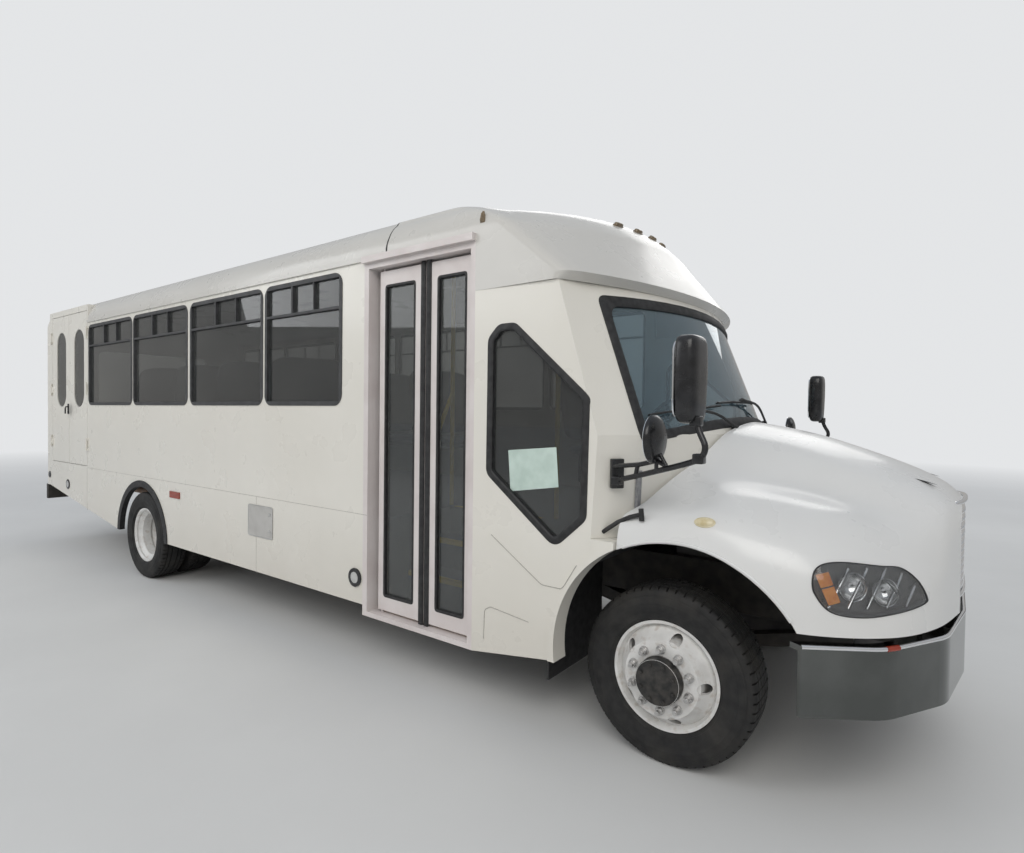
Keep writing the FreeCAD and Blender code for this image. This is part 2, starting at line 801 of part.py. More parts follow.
def nose_wire(name, back, inset=0):
    """Plan outline with a bowed front between two corners; the knee keeps its order along the side."""
    half = getattr(s, name + "_half") - inset
    side = behind(getattr(s, name + "_side")) - inset
    corner = behind(getattr(s, name + "_corner")) - inset
    corner_half = getattr(s, name + "_corner_half") - inset
    centre = behind(getattr(s, name + "_centre")) - inset
    flare = getattr(s, name + "_flare")
    bow = bow_radius(corner_half, centre - corner)
    knee = behind(s.shell_back)
    if knee.value > side.value:
        knee = (back + side) / 2
    return [
        (back, -half),
        (knee, -half),
        (side, -half - flare),
        (corner, -corner_half, (bow, 1)),
        (corner, corner_half),
        (side, half + flare),
        (knee, half),
        (back, half),
    ]


cap = Piece("front_cap")
cap_names = [row[0] for row in CAP]
cap.loft("z", [(getattr(s, n + "_level"), nose_wire(n, roof_front)) for n in cap_names])
cap_inner = []
for name in cap_names[:-1]:
    level = getattr(s, name + "_level") - s.roof_skin
    cap_inner.append((level, nose_wire(name, roof_front - 1, s.roof_skin)))
cap_inner[0] = (s.shell_top - s.roof_skin, cap_inner[0][1])
cap.loft("z", cap_inner, cut=True)
over_door = rectangle(roof_front - 2, shell_back, s.shell_top - 1, s.gutter)
cap.pocket("y", [over_door], -s.half_width - 1, s.half_width + 1)

# Cowl moulding: windscreen pillars, header, cowl and bulkhead
COWL = [
    ("cowl_0", 1060, 300, 165, 1060, -100, 1220),
    ("cowl_1", 1550, 270, 140, 1050, -105, 1220),
    ("cowl_2", 2309, 500, 440, 1060, 200, 1220),
]
for name, level, side, corner, corner_half, centre, half in COWL:
    name_size(name + "_level", level)
    name_size(name + "_side", side)
    name_size(name + "_corner", corner)
    name_size(name + "_corner_half", corner_half)
    name_size(name + "_centre", centre)
    name_size(name + "_half", half)


def cowl_wire(name, inset=0, back_shift=0):
    half = getattr(s, name + "_half") - inset
    side = behind(getattr(s, name + "_side"))
    corner = behind(getattr(s, name + "_corner")) - inset
    corner_half = getattr(s, name + "_corner_half") - inset
    centre = behind(getattr(s, name + "_centre")) - inset
    bow = bow_radius(corner_half, centre - corner)
    wire = [
        (side, -half),
        (corner, -corner_half, (bow, 1)),
        (corner, corner_half),
        (side, half),
    ]
    if inset:
        wire = [(side - back_shift, -half)] + wire + [(side - back_shift, half)]
    return wire


name_size("screen_low_half", 1030)
name_size("screen_top_half", 1000)
name_size("screen_low", 1525)
name_size("screen_high", 2235)
name_size("screen_bow_low", 85)
name_size("screen_bow_high", 30)


def screen_wire(inset=0):
    low_half = s.screen_low_half - inset
    top_half = s.screen_top_half - inset
    low = s.screen_low + inset
    high = s.screen_high - inset
    low_bow = bow_radius(low_half, s.screen_bow_low)
    high_bow = bow_radius(top_half, s.screen_bow_high)
    return [
        (-low_half, low, (low_bow, -1)),
        (low_half, low),
        (top_half, high, (high_bow, 1)),
        (-top_half, high),
    ]


cowl_names = [row[0] for row in COWL]
cowl = Piece("cowl")
cowl.loft("z", [(getattr(s, n + "_level"), cowl_wire(n)) for n in cowl_names])
cowl_cut = [(getattr(s, n + "_level"), cowl_wire(n, s.cowl_skin, 200)) for n in cowl_names]
cowl_cut[0] = (s.cowl_bottom + s.cowl_skin, cowl_cut[0][1])
cowl_cut[-1] = (s.shell_top, cowl_cut[-1][1])
cowl.loft("z", cowl_cut, cut=True)
cowl.pocket("x", [screen_wire()], behind(700), ahead(200))

# Windscreen: the pane follows the cowl's face inside its opening
screen = Piece("windscreen")
screen.loft("z", [(getattr(s, n + "_level"), cowl_wire(n, 8, 1)) for n in cowl_names])
screen_cut = [(getattr(s, n + "_level"), cowl_wire(n, 8 + s.pane, 200)) for n in cowl_names]
screen.loft("z", screen_cut, cut=True)
keep = rectangle(-1400, 1400, 900, 2500)
screen.pocket("x", [keep, screen_wire()], behind(800), ahead(300))

# Toe board and bulkhead foot between floor and cowl
toe = Piece("toe_board")
name_size("toe_thick", 40)
toe_profile = [
    (behind(s.floor_front), floor_low),
    (behind(s.floor_front) + s.toe_thick, floor_low),
    (behind(s.cowl_0_side) + s.toe_thick, s.cowl_bottom),
    (behind(s.cowl_0_side) - s.toe_thick, s.cowl_bottom),
    (behind(s.floor_front), s.floor_top),
]
toe.pad("y", [toe_profile], -wall_in + 60, wall_in - 60)

# Moulded front shells with the six-sided cab windows
name_size("shell_low_back", 345)
name_size("shell_low_front", 420)
arch_x = ahead(s.arch_ahead)
arch_z = s.arch_height
name_size("flare_width", 40)
flare_radius = s.arch_radius + s.flare_width


def on_circle(radius, level):
    rise = as_size(level).value - arch_z.value
    return arch_x - math.sqrt(radius.value ** 2 - rise ** 2)


CAB_WINDOW = [
    ("cab_window_1", 925, 2040),
    ("cab_window_2", 860, 2105),
    ("cab_window_3", 760, 2105),
    ("cab_window_4", 325, 1725),
    ("cab_window_5", 334, 1150),
    ("cab_window_6", 500, 1000),
    ("cab_window_7", 928, 1330),
]
for name, back, level in CAB_WINDOW:
    name_size(name + "_back", back)
    name_size(name + "_level", level)
cab_window = [(behind(getattr(s, r[0] + "_back")), getattr(s, r[0] + "_level")) for r in CAB_WINDOW]
name_size("cab_window_corner", 60)
cab_window = softened(cab_window[::-1], s.cab_window_corner.value)
shell_outline = [
    (shell_back, s.shell_low_back),
    (on_circle(flare_radius, s.shell_low_front), s.shell_low_front, (flare_radius, -1)),
    (on_circle(flare_radius, s.cowl_bottom - 60), s.cowl_bottom - 60),
    (behind(s.cowl_0_side), s.cowl_0_level),
    (behind(s.cowl_1_side), s.cowl_1_level),
    (behind(s.cowl_2_side), s.shell_top),
    (shell_back, s.shell_top),
]
shells = Piece("cab_shells")
shells.pad("y", [shell_outline, cab_window], -s.half_width, -wall_in)
shells.pad("y", [shell_outline, cab_window], wall_in, s.half_width)
ext = [
    (on_circle(s.arch_radius, s.shell_low_front), s.shell_low_front, (s.arch_radius, -1)),
    (behind(s.hood_rear) - 6, arch_z + 524),
    (behind(s.hood_rear) - 6, s.cowl_bottom - 1),
    (behind(s.cowl_0_side), s.cowl_bottom - 1),
    (on_circle(flare_radius, s.cowl_bottom - 60), s.cowl_bottom - 60, (flare_radius, 1)),
    (on_circle(flare_radius, s.shell_low_front), s.shell_low_front),
]
shells.pad("y", [ext], -s.half_width - 10, -wall_in + 60)
shells.pad("y", [ext], wall_in - 60, s.half_width + 10)

# Glass in the side walls, the rear wall and the front shells
side_glass = Piece("side_glass")
mid = s.half_width - s.wall / 2
for row in RIGHT_WINDOWS:
    pane_wire = rectangle(*window_wire(row, s.frame_bar))
    side_glass.pad("y", [pane_wire], -mid - s.pane / 2, -mid + s.pane / 2)
for row in RIGHT_WINDOWS + LEFT_ONLY_WINDOWS:
    pane_wire = rectangle(*window_wire(row, s.frame_bar))
    side_glass.pad("y", [pane_wire], mid - s.pane / 2, mid + s.pane / 2)
side_glass.pad("y", [cab_window], -mid - s.pane / 2, -mid + s.pane / 2)
side_glass.pad("y", [cab_window], mid - s.pane / 2, mid + s.pane / 2)
name_size("rear_pane_half", 700)
name_size("rear_pane_low", 1560)
name_size("rear_pane_high", 2400)
rear_hole = rectangle(-s.rear_pane_half, s.rear_pane_half, s.rear_pane_low, s.rear_pane_high, 80)
rear_face = body_back - s.rear_wall_depth
side_glass.pad("x", [rear_hole], rear_face + 30, rear_face + 30 + s.pane)

# Black window frames with their transoms and dividers
frames = Piece("window_frames")


def frame_wires(row):
    rear, front, bottom, top = window_wire(row)
    bar = s.frame_bar
    slim = s.slim_bar / 2
    first = rear + (front - rear) * row[3]
    second = rear + (front - rear) * row[4]
    upper = s.transom + slim
    return [
        rectangle(rear, front, bottom, top, s.window_corner),
        rectangle(rear + bar, front - bar, bottom + bar, s.transom - slim),
        rectangle(rear + bar, first - slim, upper, top - bar),
        rectangle(first + slim, second - slim / 2, upper, top - bar),
        rectangle(second + slim / 2, front - bar, upper, top - bar),
    ]


proud = s.half_width + s.frame_proud
for row in RIGHT_WINDOWS:
    frames.pad("y", frame_wires(row), -proud, -mid - s.pane / 2)
for row in RIGHT_WINDOWS + LEFT_ONLY_WINDOWS:
    frames.pad("y", frame_wires(row), mid + s.pane / 2, proud)

# Rear wall and bumper
rear_wall = Piece("rear_wall")
wall_section = [
    (s.half_width, s.tail_bottom),
    (s.half_width, s.gutter, (s.cove, 1)),
    (deck_half, cove_top, (crown_outer, 1)),
    (-deck_half, cove_top, (s.cove, 1)),
    (-s.half_width, s.gutter),
    (-s.half_width, s.tail_bottom),
]
rear_wall.pad("x", [wall_section, rear_hole], rear_face, body_back)
rear_bumper = Piece("rear_bumper")
name_size("rear_bumper_low", 520)
name_size("rear_bumper_high", 700)
rear_end = rear_hub - s.rear_overhang
bumper_half = s.half_width - 10
rear_bumper.pad("x", [rectangle(-bumper_half, bumper_half, s.rear_bumper_low, s.rear_bumper_high)],
                rear_end, rear_end + 60)
stay = rectangle(inner, s.rail_half, s.rail_bottom + 10, s.rear_bumper_high - 10)
rear_bumper.pad("x", [stay, flipped(stay)], rear_end + 60, rail_start)

# Drip rails along the roof edge
drip = Piece("drip_rails")
name_size("drip_out", 14)
name_size("drip_high", 24)
gutter_wire = [
    (-s.half_width, s.gutter - s.drip_high),
    (-s.half_width - s.drip_out, s.gutter - s.drip_high),
    (-s.half_width - s.drip_out, s.gutter),
    (-s.half_width, s.gutter),
]
drip.pad("x", [gutter_wire], right_back, jamb_back)
drip.pad("x", [flipped(gutter_wire)], body_back, shell_back)

# Front bumper: half plan of its face from wing to centre
BUMPER = [
    ("bumper_1", 610, 1185),
    ("bumper_2", 880, 1010),
    ("bumper_3", 1068, 690),
    ("bumper_4", 1130, 240),
]
for name, place, half in BUMPER:
    name_size(name + "_ahead", place)
    name_size(name + "_half", half)


def bumper_side(sign, inset):
    side = []
    for row in BUMPER:
        x = ahead(getattr(s, row[0] + "_ahead")) - inset
        y = (getattr(s, row[0] + "_half") - inset * 0.6) * sign
        side.append((x, y))
    return side


def bumper_band(depth):
    outer = bumper_side(-1, as_size(0)) + bumper_side(1, as_size(0))[::-1]
    inside = bumper_side(-1, as_size(depth)) + bumper_side(1, as_size(depth))[::-1]
    bend = s.bumper_bend.value
    outer_bends = [0, bend, bend, bend, bend, bend, bend, 0]
    inner_bends = [0] + [bend - as_size(depth).value] * 6 + [0]
    return softened(outer + inside[::-1], outer_bends + inner_bends)


name_size("bumper_bend", 260)
bumper = Piece("front_bumper")
bumper.pad("z", [bumper_band(s.bumper_plate)], s.bumper_bottom, s.bumper_top)
bumper.pad("z", [bumper_band(s.bumper_roll)], s.bumper_top - s.bumper_plate * 2, s.bumper_top)

# Tilting hood with its fenders: sections across the bus, each with
# place ahead of the hub, centre, first crease, second crease, fender ridge, side and lip
HOOD = [
    ("hood_0", -180, 1645, 420, 1610, 740, 1450, 1010, 1235, 1190, 1120, 1225),
    ("hood_1", 170, 1608, 405, 1545, 680, 1375, 965, 1275, 1150, 1165, 1218),
    ("hood_2", 450, 1553, 400, 1490, 640, 1325, 915, 1260, 1130, 1110, 1200),
    ("hood_3", 700, 1475, 395, 1415, 605, 1270, 850, 1205, 1050, 1040, 1130),
    ("hood_4", 910, 1395, 370, 1345, 575, 1220, 750, 1100, 890, 970, 970),
    ("hood_5", 1035, 1330, 350, 1285, 500, 1190, 600, 1050, 680, 960, 735),
    ("hood_6", 1105, 1265, 250, 1245, 360, 1170, 410, 1040, 430, 950, 445),
]
HOOD_KEYS = [
    "ahead", "centre", "crease_half", "crease", "flank_half", "flank",
    "ridge_half", "ridge", "side_half", "side", "lip_half",
]
for row in HOOD:
    for key, value in zip(HOOD_KEYS, row[1:]):
        name_size(row[0] + "_" + key, value)


def hood_wire(name, inset=0, drop=0):
    def of(key):
        return getattr(s, name + "_" + key)

    top = of("centre") - inset
    half = [
        (of("crease_half") - inset * 0.5, of("crease") - inset),
        (of("flank_half") - inset * 0.5, of("flank") - inset),
        (of("ridge_half") - inset * 0.5, of("ridge") - inset),
        (of("side_half") - inset, of("side") - inset * 0.5),
        (of("lip_half") - inset, s.hood_bottom - drop),
    ]
    right = [(-y, z) for y, z in half]
    return right[::-1] + [(0, top)] + half


hood = Piece("hood")
hood_names = [row[0] for row in HOOD]
hood.loft("x", [(ahead(getattr(s, n + "_ahead")), hood_wire(n)) for n in hood_names])
hood_cut = []
for name in hood_names:
    place = ahead(getattr(s, name + "_ahead"))
    if name == hood_names[0]:
        place = place - 40
    if name == hood_names[-1]:
        place = place - s.hood_skin
    hood_cut.append((place, hood_wire(name, s.hood_skin, 40)))
hood.loft("x", hood_cut, cut=True)
hood_bow = bow_radius(s.cowl_1_corner_half, s.cowl_1_corner - s.cowl_1_centre)
rear_line = [
    (behind(700), -1400),
    (behind(s.hood_rear), -1400),
    (behind(s.hood_rear), -s.cowl_1_corner_half - 80),
    (behind(s.cowl_1_corner) + s.hood_gap, -s.cowl_1_corner_half, (hood_bow, 1)),
    (behind(s.cowl_1_corner) + s.hood_gap, s.cowl_1_corner_half),
    (behind(s.hood_rear), s.cowl_1_corner_half + 80),
    (behind(s.hood_rear), 1400),
    (behind(700), 1400),
]
hood.pocket("z", [rear_line], 500, 1900)
arch_cut = Round(arch_x, arch_z, s.arch_radius)
hood.pocket("y", [arch_cut], -1400, -560)
hood.pocket("y", [arch_cut], 560, 1400)
name_size("grille_half", 400)
name_size("grille_low", 850)
name_size("grille_high", 1215)
grille_hole = rectangle(-s.grille_half, s.grille_half, s.grille_low, s.grille_high, 30)
hood.pocket("x", [grille_hole], ahead(1000), ahead(1200))
knuckle = [
    (hinge_x, hinge_z - s.hinge_radius, (s.hinge_radius, 1)),
    (hinge_x, hinge_z + s.hinge_radius),
    (hinge_x, s.hood_bottom + 20),
    (hinge_x - 60, s.hood_bottom + 20),
    (hinge_x - 60, s.hood_bottom + 2),
    (hinge_x - 20, s.hood_bottom - 15),
]
hood.pad("y", [knuckle], -s.hinge_outer, -s.hinge_joint - s.run_gap)
hood.pad("y", [knuckle], s.hinge_joint + s.run_gap, s.hinge_outer)

# Grille bars in the hood's front face
grille = Piece("grille")
name_size("grille_bar", 12)
name_size("grille_rim", 20)
name_size("grille_proud", 20)
BAR_COUNT = 9
grille_face = ahead(s.hood_6_ahead)
gap = (s.grille_high - s.grille_low - s.grille_rim * 2) / BAR_COUNT
rim_outer = rectangle(-s.grille_half, s.grille_half, s.grille_low, s.grille_high, 30)
bar_half = s.grille_half - s.grille_rim
wires = [rim_outer]
for i in range(BAR_COUNT):
    low = s.grille_low + s.grille_rim + gap * i
    wires.append(rectangle(-bar_half, bar_half, low, low + gap - s.grille_bar))
grille.pad("x", wires, grille_face - s.hood_skin, grille_face + s.grille_proud)

# Headlamps: closed lens bodies set into the fender fronts
lamps = Piece("headlamps")
lamp_wire = [
    (ahead(625), 1015),
    (ahead(700), 962),
    (ahead(930), 945),
    (ahead(992), 985),
    (ahead(900), 1068),
    (ahead(720), 1088),
]
lamp_wire = softened(lamp_wire, [18, 30, 30, 14, 30, 26])
hood.pocket("y", [lamp_wire], -1400, -560)
hood.pocket("y", [lamp_wire], 560, 1400)
lamp_names = hood_names[2:6]
lamps.loft("x", [(ahead(getattr(s, n + "_ahead")), hood_wire(n)) for n in lamp_names])
lamp_cut = [(ahead(getattr(s, n + "_ahead")), hood_wire(n, 30, 40)) for n in lamp_names]
lamps.loft("x", lamp_cut, cut=True)
lamp_keep = rectangle(ahead(300), ahead(1200), 700, 1700)
lamps.pocket("y", [lamp_keep, lamp_wire], -1400, -300)
lamps.pocket("y", [lamp_keep, lamp_wire], 300, 1400)
lamps.pocket("y", [lamp_keep], -300, 300)

# Wheels: half profile of a tyre from bead to tread, as fractions of width and radius steps
TYRE = [
    (-0.345, 0.085),
    (-0.50, 0.50),
    (-0.455, 0.87),
    (-0.36, 1.00),
    (0.36, 1.00),
    (0.455, 0.87),
    (0.50, 0.50),
    (0.345, 0.085),
]
name_size("tyre_sides", 48)


def polygon_ring(name, x, y, radius):
    """One section of a tyre: a regular polygon that faces along Y."""
    ring = doc.addObject("Part::RegularPolygon", name)
    ring.Polygon = int(s.tyre_sides.value)
    ring.setExpression("Circumradius", radius.text)
    ring.setExpression("Placement.Base.x", as_size(x).text)
    ring.setExpression("Placement.Base.y", as_size(y).text)
    ring.setExpression("Placement.Base.z", s.hub_height.text)
    ring.Placement.Rotation = Rotation(Vector(1, 0, 0), 90)
    return ring


def ring_loft(name, x, rows):
    """A solid through polygon sections; each row is a place along Y and a radius."""
    loft = doc.addObject("Part::Loft", name)
    loft.Sections = [polygon_ring("%s_%d" % (name, i), x, y, r) for i, (y, r) in enumerate(rows)]
    loft.Solid = True
    loft.Ruled = True
    return loft


def tyre_body(name, x, centre):
    """Tyre of few flat faces with its bore on the bead seat."""
    depth = s.tyre_radius - s.rim_radius
    skin = [(centre + s.tyre_width * across, s.rim_radius + depth * up) for across, up in TYRE]
    bead = s.tyre_width * -TYRE[0][0] + 1
    seat = s.rim_radius * (1 / math.cos(math.pi / s.tyre_sides.value))
    tyre = doc.addObject("Part::Cut", name)
    tyre.Base = ring_loft(name + "_skin", x, skin)
    tyre.Tool = ring_loft(name + "_bore", x, [(centre - bead, seat), (centre + bead, seat)])
    return tyre


def rim_profile(centre, disc, outward):
    """Barrel and dished disc in one section; outward is the sign of the bus side."""
    half = s.rim_width / 2
    seat = s.rim_radius
    flange = s.flange_radius
    well = seat - 35
    skin = 10
    a = centre - half * outward
    b = centre + half * outward
    c = disc - 12 * outward
    d = disc
    return [
        (flange, a),
        (seat - s.run_gap, a + 12 * outward),
        (seat - s.run_gap, a + 30 * outward),
        (well, a + 60 * outward),
        (well, b - 60 * outward),
        (seat - s.run_gap, b - 30 * outward),
        (seat - s.run_gap, b - 12 * outward),
        (flange, b),
        (flange - 14, b),
        (seat - 14, b - 30 * outward),
        (s.hub_bore + 70, d),
        (s.hub_bore, d),
        (s.hub_bore, c),
        (s.hub_bore + 62, c),
        (seat - 30, b - 48 * outward),
        (well - skin, b - 70 * outward),
        (well - skin, a + 55 * outward),
        (seat - 14, a + 26 * outward),
        (seat - 14, a + 12 * outward),
        (flange - 14, a),
    ]


name_size("hub_radius", 105)
name_size("spindle_radius", 38)
name_size("drum_radius", 185)
name_size("drum_wall", 13)
name_size("drum_depth", 195)
name_size("hub_depth", 160)
name_size("hub_cap", 15)
name_size("front_nose", 60)
name_size("rear_nose", 100)
name_size("nut_radius", 16)
name_size("nut_height", 22)
name_size("stud_radius", 11)
name_size("stud_reach", 46)
name_size("hand_radius", 26)
name_size("hand_circle", 196)
name_size("disc_plate", 12)
STUDS = 10
HAND_HOLES = 5
front_disc = s.front_track_half + s.dual_half


def hub_profile(face, nose, outward):
    """Drum, flange, barrel and cap of a hub; face is the plane the wheel seats on."""
    bore = s.spindle_radius + s.run_gap
    inner_drum = s.drum_radius - s.drum_wall
    return [
        (s.drum_radius, face - s.drum_depth * outward),
        (s.drum_radius, face),
        (s.hub_radius, face),
        (s.hub_radius, face + nose * outward),
        (0, face + nose * outward),
        (0, face + (nose - s.hub_cap) * outward),
        (bore, face + (nose - s.hub_cap) * outward),
        (bore, face - s.hub_depth * outward),
        (s.hub_radius, face - s.hub_depth * outward),
        (s.hub_radius, face - s.drum_wall * 2 * outward),
        (inner_drum, face - s.drum_wall * 2 * outward),
        (inner_drum, face - s.drum_depth * outward),
    ]


def ring_of(count, circle, radius, x, phase=0.0):
    spots = []
    for i in range(count):
        angle = 2 * math.pi * (i + phase) / count
        spots.append(Round(x + circle * math.cos(angle), s.hub_height + circle * math.sin(angle), radius))
    return spots


def sided(sign, near, far):
    """A span along Y on one side of the bus, as low and high."""
    if sign > 0:
        return near, far
    return -as_size(far), -as_size(near)


def add_studs(piece, x, plane, sign):
    nut_low, nut_high = sided(sign, plane, plane + s.nut_height)
    piece.pad("y", ring_of(STUDS, s.stud_circle, s.nut_radius, x, 0.5), nut_low, nut_high)
    stud_low, stud_high = sided(sign, plane + s.nut_height, plane + s.stud_reach)
    piece.pad("y", ring_of(STUDS, s.stud_circle, s.stud_radius, x, 0.5), stud_low, stud_high)


for side, sign in (("right", -1), ("left", 1)):
    centre = s.front_track_half * sign
    group("tyre_front_" + side, [tyre_body("front_tyre_" + side, front_hub, centre)])
    rim = Piece("wheel_front_" + side)
    rim.revolve(rim_profile(centre, front_disc * sign, sign), front_hub, s.hub_height)
    hole_low, hole_high = sided(sign, s.front_track_half + 30, front_disc + 1)
    rim.pocket("y", ring_of(HAND_HOLES, s.hand_circle, s.hand_radius, front_hub), hole_low, hole_high)
    rim.revolve(hub_profile((front_disc - s.disc_plate) * sign, s.front_nose, sign), front_hub, s.hub_height)
    add_studs(rim, front_hub, front_disc, sign)
    outer_centre = (s.rear_disc_plane + s.dual_half) * sign
    inner_centre = (s.rear_disc_plane - s.dual_half) * sign
    twins = [tyre_body("outer_tyre_" + side, rear_hub, outer_centre)]
    twins.append(tyre_body("inner_tyre_" + side, rear_hub, inner_centre))
    group("tyres_rear_" + side, twins)
    rims = Piece("wheels_rear_" + side)
    disc = s.rear_disc_plane * sign
    rims.revolve(rim_profile(outer_centre, disc, -sign), rear_hub, s.hub_height)
    rims.revolve(rim_profile(inner_centre, disc, sign), rear_hub, s.hub_height)
    hole_low, hole_high = sided(sign, s.rear_disc_plane - 70, s.rear_disc_plane + 70)
    rims.pocket("y", ring_of(HAND_HOLES, s.hand_circle, s.hand_radius, rear_hub), hole_low, hole_high)
    rims.revolve(hub_profile((s.rear_disc_plane - s.disc_plate) * sign, s.rear_nose, sign), rear_hub,
                 s.hub_height)
    add_studs(rims, rear_hub, s.rear_disc_plane + s.disc_plate, sign)

# Steering knuckles: lugs round the kingpin, web plate, spindle and steering arm
name_size("kingpin_radius", 20)
name_size("eye_radius", 45)
name_size("eye_low", 365)
name_size("eye_high", 460)
name_size("lug_thick", 50)
name_size("lug_gap", 5)
name_size("web_near", 46)
name_size("web_far", 60)
name_size("web_half", 50)
name_size("arm_back", 190)
name_size("arm_wide", 40)
lug_spans = [
    (s.eye_low - s.lug_gap - s.lug_thick, s.eye_low - s.lug_gap),
    (s.eye_high + s.lug_gap, s.eye_high + s.lug_gap + s.lug_thick),
]
for side, sign in (("right", -1), ("left", 1)):
    knuckle_piece = Piece("knuckle_" + side)
    pin_spot = s.kingpin_half * sign
    near, far = sided(sign, s.kingpin_half, s.kingpin_half + s.web_near)
    for low, high in lug_spans:
        knuckle_piece.pad("z", [Round(front_hub, pin_spot, s.eye_radius)], low, high)
        lug = rectangle(front_hub - s.eye_radius, front_hub + s.eye_radius, near, far)
        knuckle_piece.pad("z", [lug], low, high)
    web_low, web_high = sided(sign, s.kingpin_half + s.web_near, s.kingpin_half + s.web_far)
    plate = rectangle(front_hub - s.web_half, front_hub + s.web_half, web_low, web_high)
    knuckle_piece.pad("z", [plate], lug_spans[0][0], lug_spans[1][1])
    tip = front_disc - s.disc_plate + s.front_nose - s.hub_cap - 1
    axle_low, axle_high = sided(sign, s.kingpin_half + s.web_far, tip)
    knuckle_piece.pad("y", [Round(front_hub, s.hub_height, s.spindle_radius)], axle_low, axle_high)
    arm_low, arm_high = sided(sign, s.kingpin_half - 30, s.kingpin_half + 10)
    arm = rectangle(front_hub - s.arm_back, front_hub - s.eye_radius + 10, arm_low, arm_high)
    knuckle_piece.pad("z", [arm], lug_spans[0][0], lug_spans[0][0] + s.arm_wide)
    bore = Round(front_hub, pin_spot, s.kingpin_radius + s.run_gap)
    knuckle_piece.pocket("z", [bore], lug_spans[0][0] - 1, lug_spans[1][1] + 1)

# Front beam with kingpins, rear axle with its differential
axles = Piece("axles")
beam = [
    (-s.kingpin_half, s.eye_low),
    (-620, s.eye_low),
    (-540, s.eye_low - 50),
    (540, s.eye_low - 50),
    (620, s.eye_low),
    (s.kingpin_half, s.eye_low),
    (s.kingpin_half, s.eye_high),
    (600, s.eye_high),
    (520, s.eye_high - 50),
    (-520, s.eye_high - 50),
    (-600, s.eye_high),
    (-s.kingpin_half, s.eye_high),
]
axles.pad("x", [beam], front_hub - s.eye_radius, front_hub + s.eye_radius)
for sign in (-1, 1):
    eye = Round(front_hub, s.kingpin_half * sign, s.eye_radius)
    axles.pad("z", [eye], s.eye_low, s.eye_high)
    pin = Round(front_hub, s.kingpin_half * sign, s.kingpin_radius)
    axles.pad("z", [pin], lug_spans[0][0], lug_spans[1][1])
name_size("tube_radius", 62)
name_size("tube_half", 700)
name_size("diff_radius", 185)
name_size("diff_half", 130)
name_size("nose_radius", 80)
name_size("nose_reach", 330)
axles.pad("y", [Round(rear_hub, s.hub_height, s.tube_radius)], -s.tube_half, s.tube_half)
rear_tip = s.rear_disc_plane - s.disc_plate + s.rear_nose - s.hub_cap - 1
axles.pad("y", [Round(rear_hub, s.hub_height, s.spindle_radius)], -rear_tip, rear_tip)
axles.pad("y", [Round(rear_hub, s.hub_height, s.diff_radius)], -s.diff_half, s.diff_half)
axles.pad("x", [Round(0, s.hub_height, s.nose_radius)], rear_hub, rear_hub + s.nose_reach)

# Leaf springs under the rails
springs = Piece("leaf_springs")
name_size("front_spring_half", 700)
name_size("rear_spring_half", 660)
name_size("spring_thick", 60)
SPRINGS = [
    (front_hub, s.front_spring_half, s.eye_high - 50),
    (rear_hub, s.rear_spring_half, s.hub_height + 62),
]
for centre, reach, seat in SPRINGS:
    leaf_pack = [
        (centre - reach, s.rail_bottom - s.spring_thick),
        (centre - 120, seat),
        (centre + 120, seat),
        (centre + reach, s.rail_bottom - s.spring_thick),
        (centre + reach, s.rail_bottom),
        (centre + reach - 60, s.rail_bottom),
        (centre + 120, seat + s.spring_thick),
        (centre - 120, seat + s.spring_thick),
        (centre - reach + 60, s.rail_bottom),
        (centre - reach, s.rail_bottom),
    ]
    springs.pad("y", [leaf_pack], inner, s.rail_half)
    springs.pad("y", [leaf_pack], -s.rail_half, -inner)

# Engine block, gearbox and drive shaft, radiator
engine = Piece("engine")
name_size("engine_half", 330)
name_size("engine_high", 1230)
name_size("engine_front", 820)
engine_back = behind(220)
engine_block = [
    (engine_back, s.eye_high + 30),
    (ahead(s.engine_front), s.eye_high + 30),
    (ahead(s.engine_front), s.engine_high),
    (ahead(-s.cowl_1_centre) + 40, s.engine_high),
    (ahead(-s.cowl_1_centre) + 40, s.cowl_bottom - 20),
    (engine_back, s.cowl_bottom - 20),
]
engine.pad("y", [engine_block], -s.engine_half, s.engine_half)
driveline = Piece("drive_line")
name_size("gearbox_half", 200)
name_size("gearbox_high", 760)
name_size("gearbox_back", 950)
name_size("shaft_radius", 40)
box_wire = rectangle(-s.gearbox_half, s.gearbox_half, s.eye_high + 30, s.gearbox_high)
driveline.pad("x", [box_wire], behind(s.gearbox_back), engine_back)
shaft_height = s.hub_height + 90
driveline.pad("x", [Round(0, shaft_height, s.shaft_radius)], rear_hub + s.nose_reach,
              behind(s.gearbox_back))
name_size("core_half", 345)
name_size("core_low", 640)
name_size("core_high", 1215)
name_size("core_thick", 70)
radiator = Piece("radiator")
core = rectangle(-s.core_half, s.core_half, s.core_low, s.core_high)
radiator.pad("x", [core], ahead(950) - s.core_thick, ahead(950))

# Fuel tank on the left rail, exhaust on the right
tank = Piece("fuel_tank")
name_size("tank_back", 3100)
name_size("tank_front", 1800)
name_size("tank_out", 980)
name_size("tank_low", 450)
name_size("tank_high", 840)
tank_wire = rectangle(s.rail_half, s.tank_out, s.tank_low, s.tank_high, 60)
tank.pad("x", [tank_wire], behind(s.tank_back), behind(s.tank_front))
exhaust = Piece("exhaust")
name_size("muffler_radius", 120)
name_size("muffler_height", 700)
name_size("muffler_back", 3300)
name_size("muffler_front", 2400)
name_size("pipe_radius", 40)
name_size("pipe_height", 650)
pipe_y = -s.rail_half - s.muffler_radius
exhaust.pad("x", [Round(pipe_y, s.muffler_height, s.muffler_radius)], behind(s.muffler_back),
            behind(s.muffler_front))
exhaust.pad("x", [Round(pipe_y, s.pipe_height, s.pipe_radius)], body_back + 200, behind(s.muffler_back))

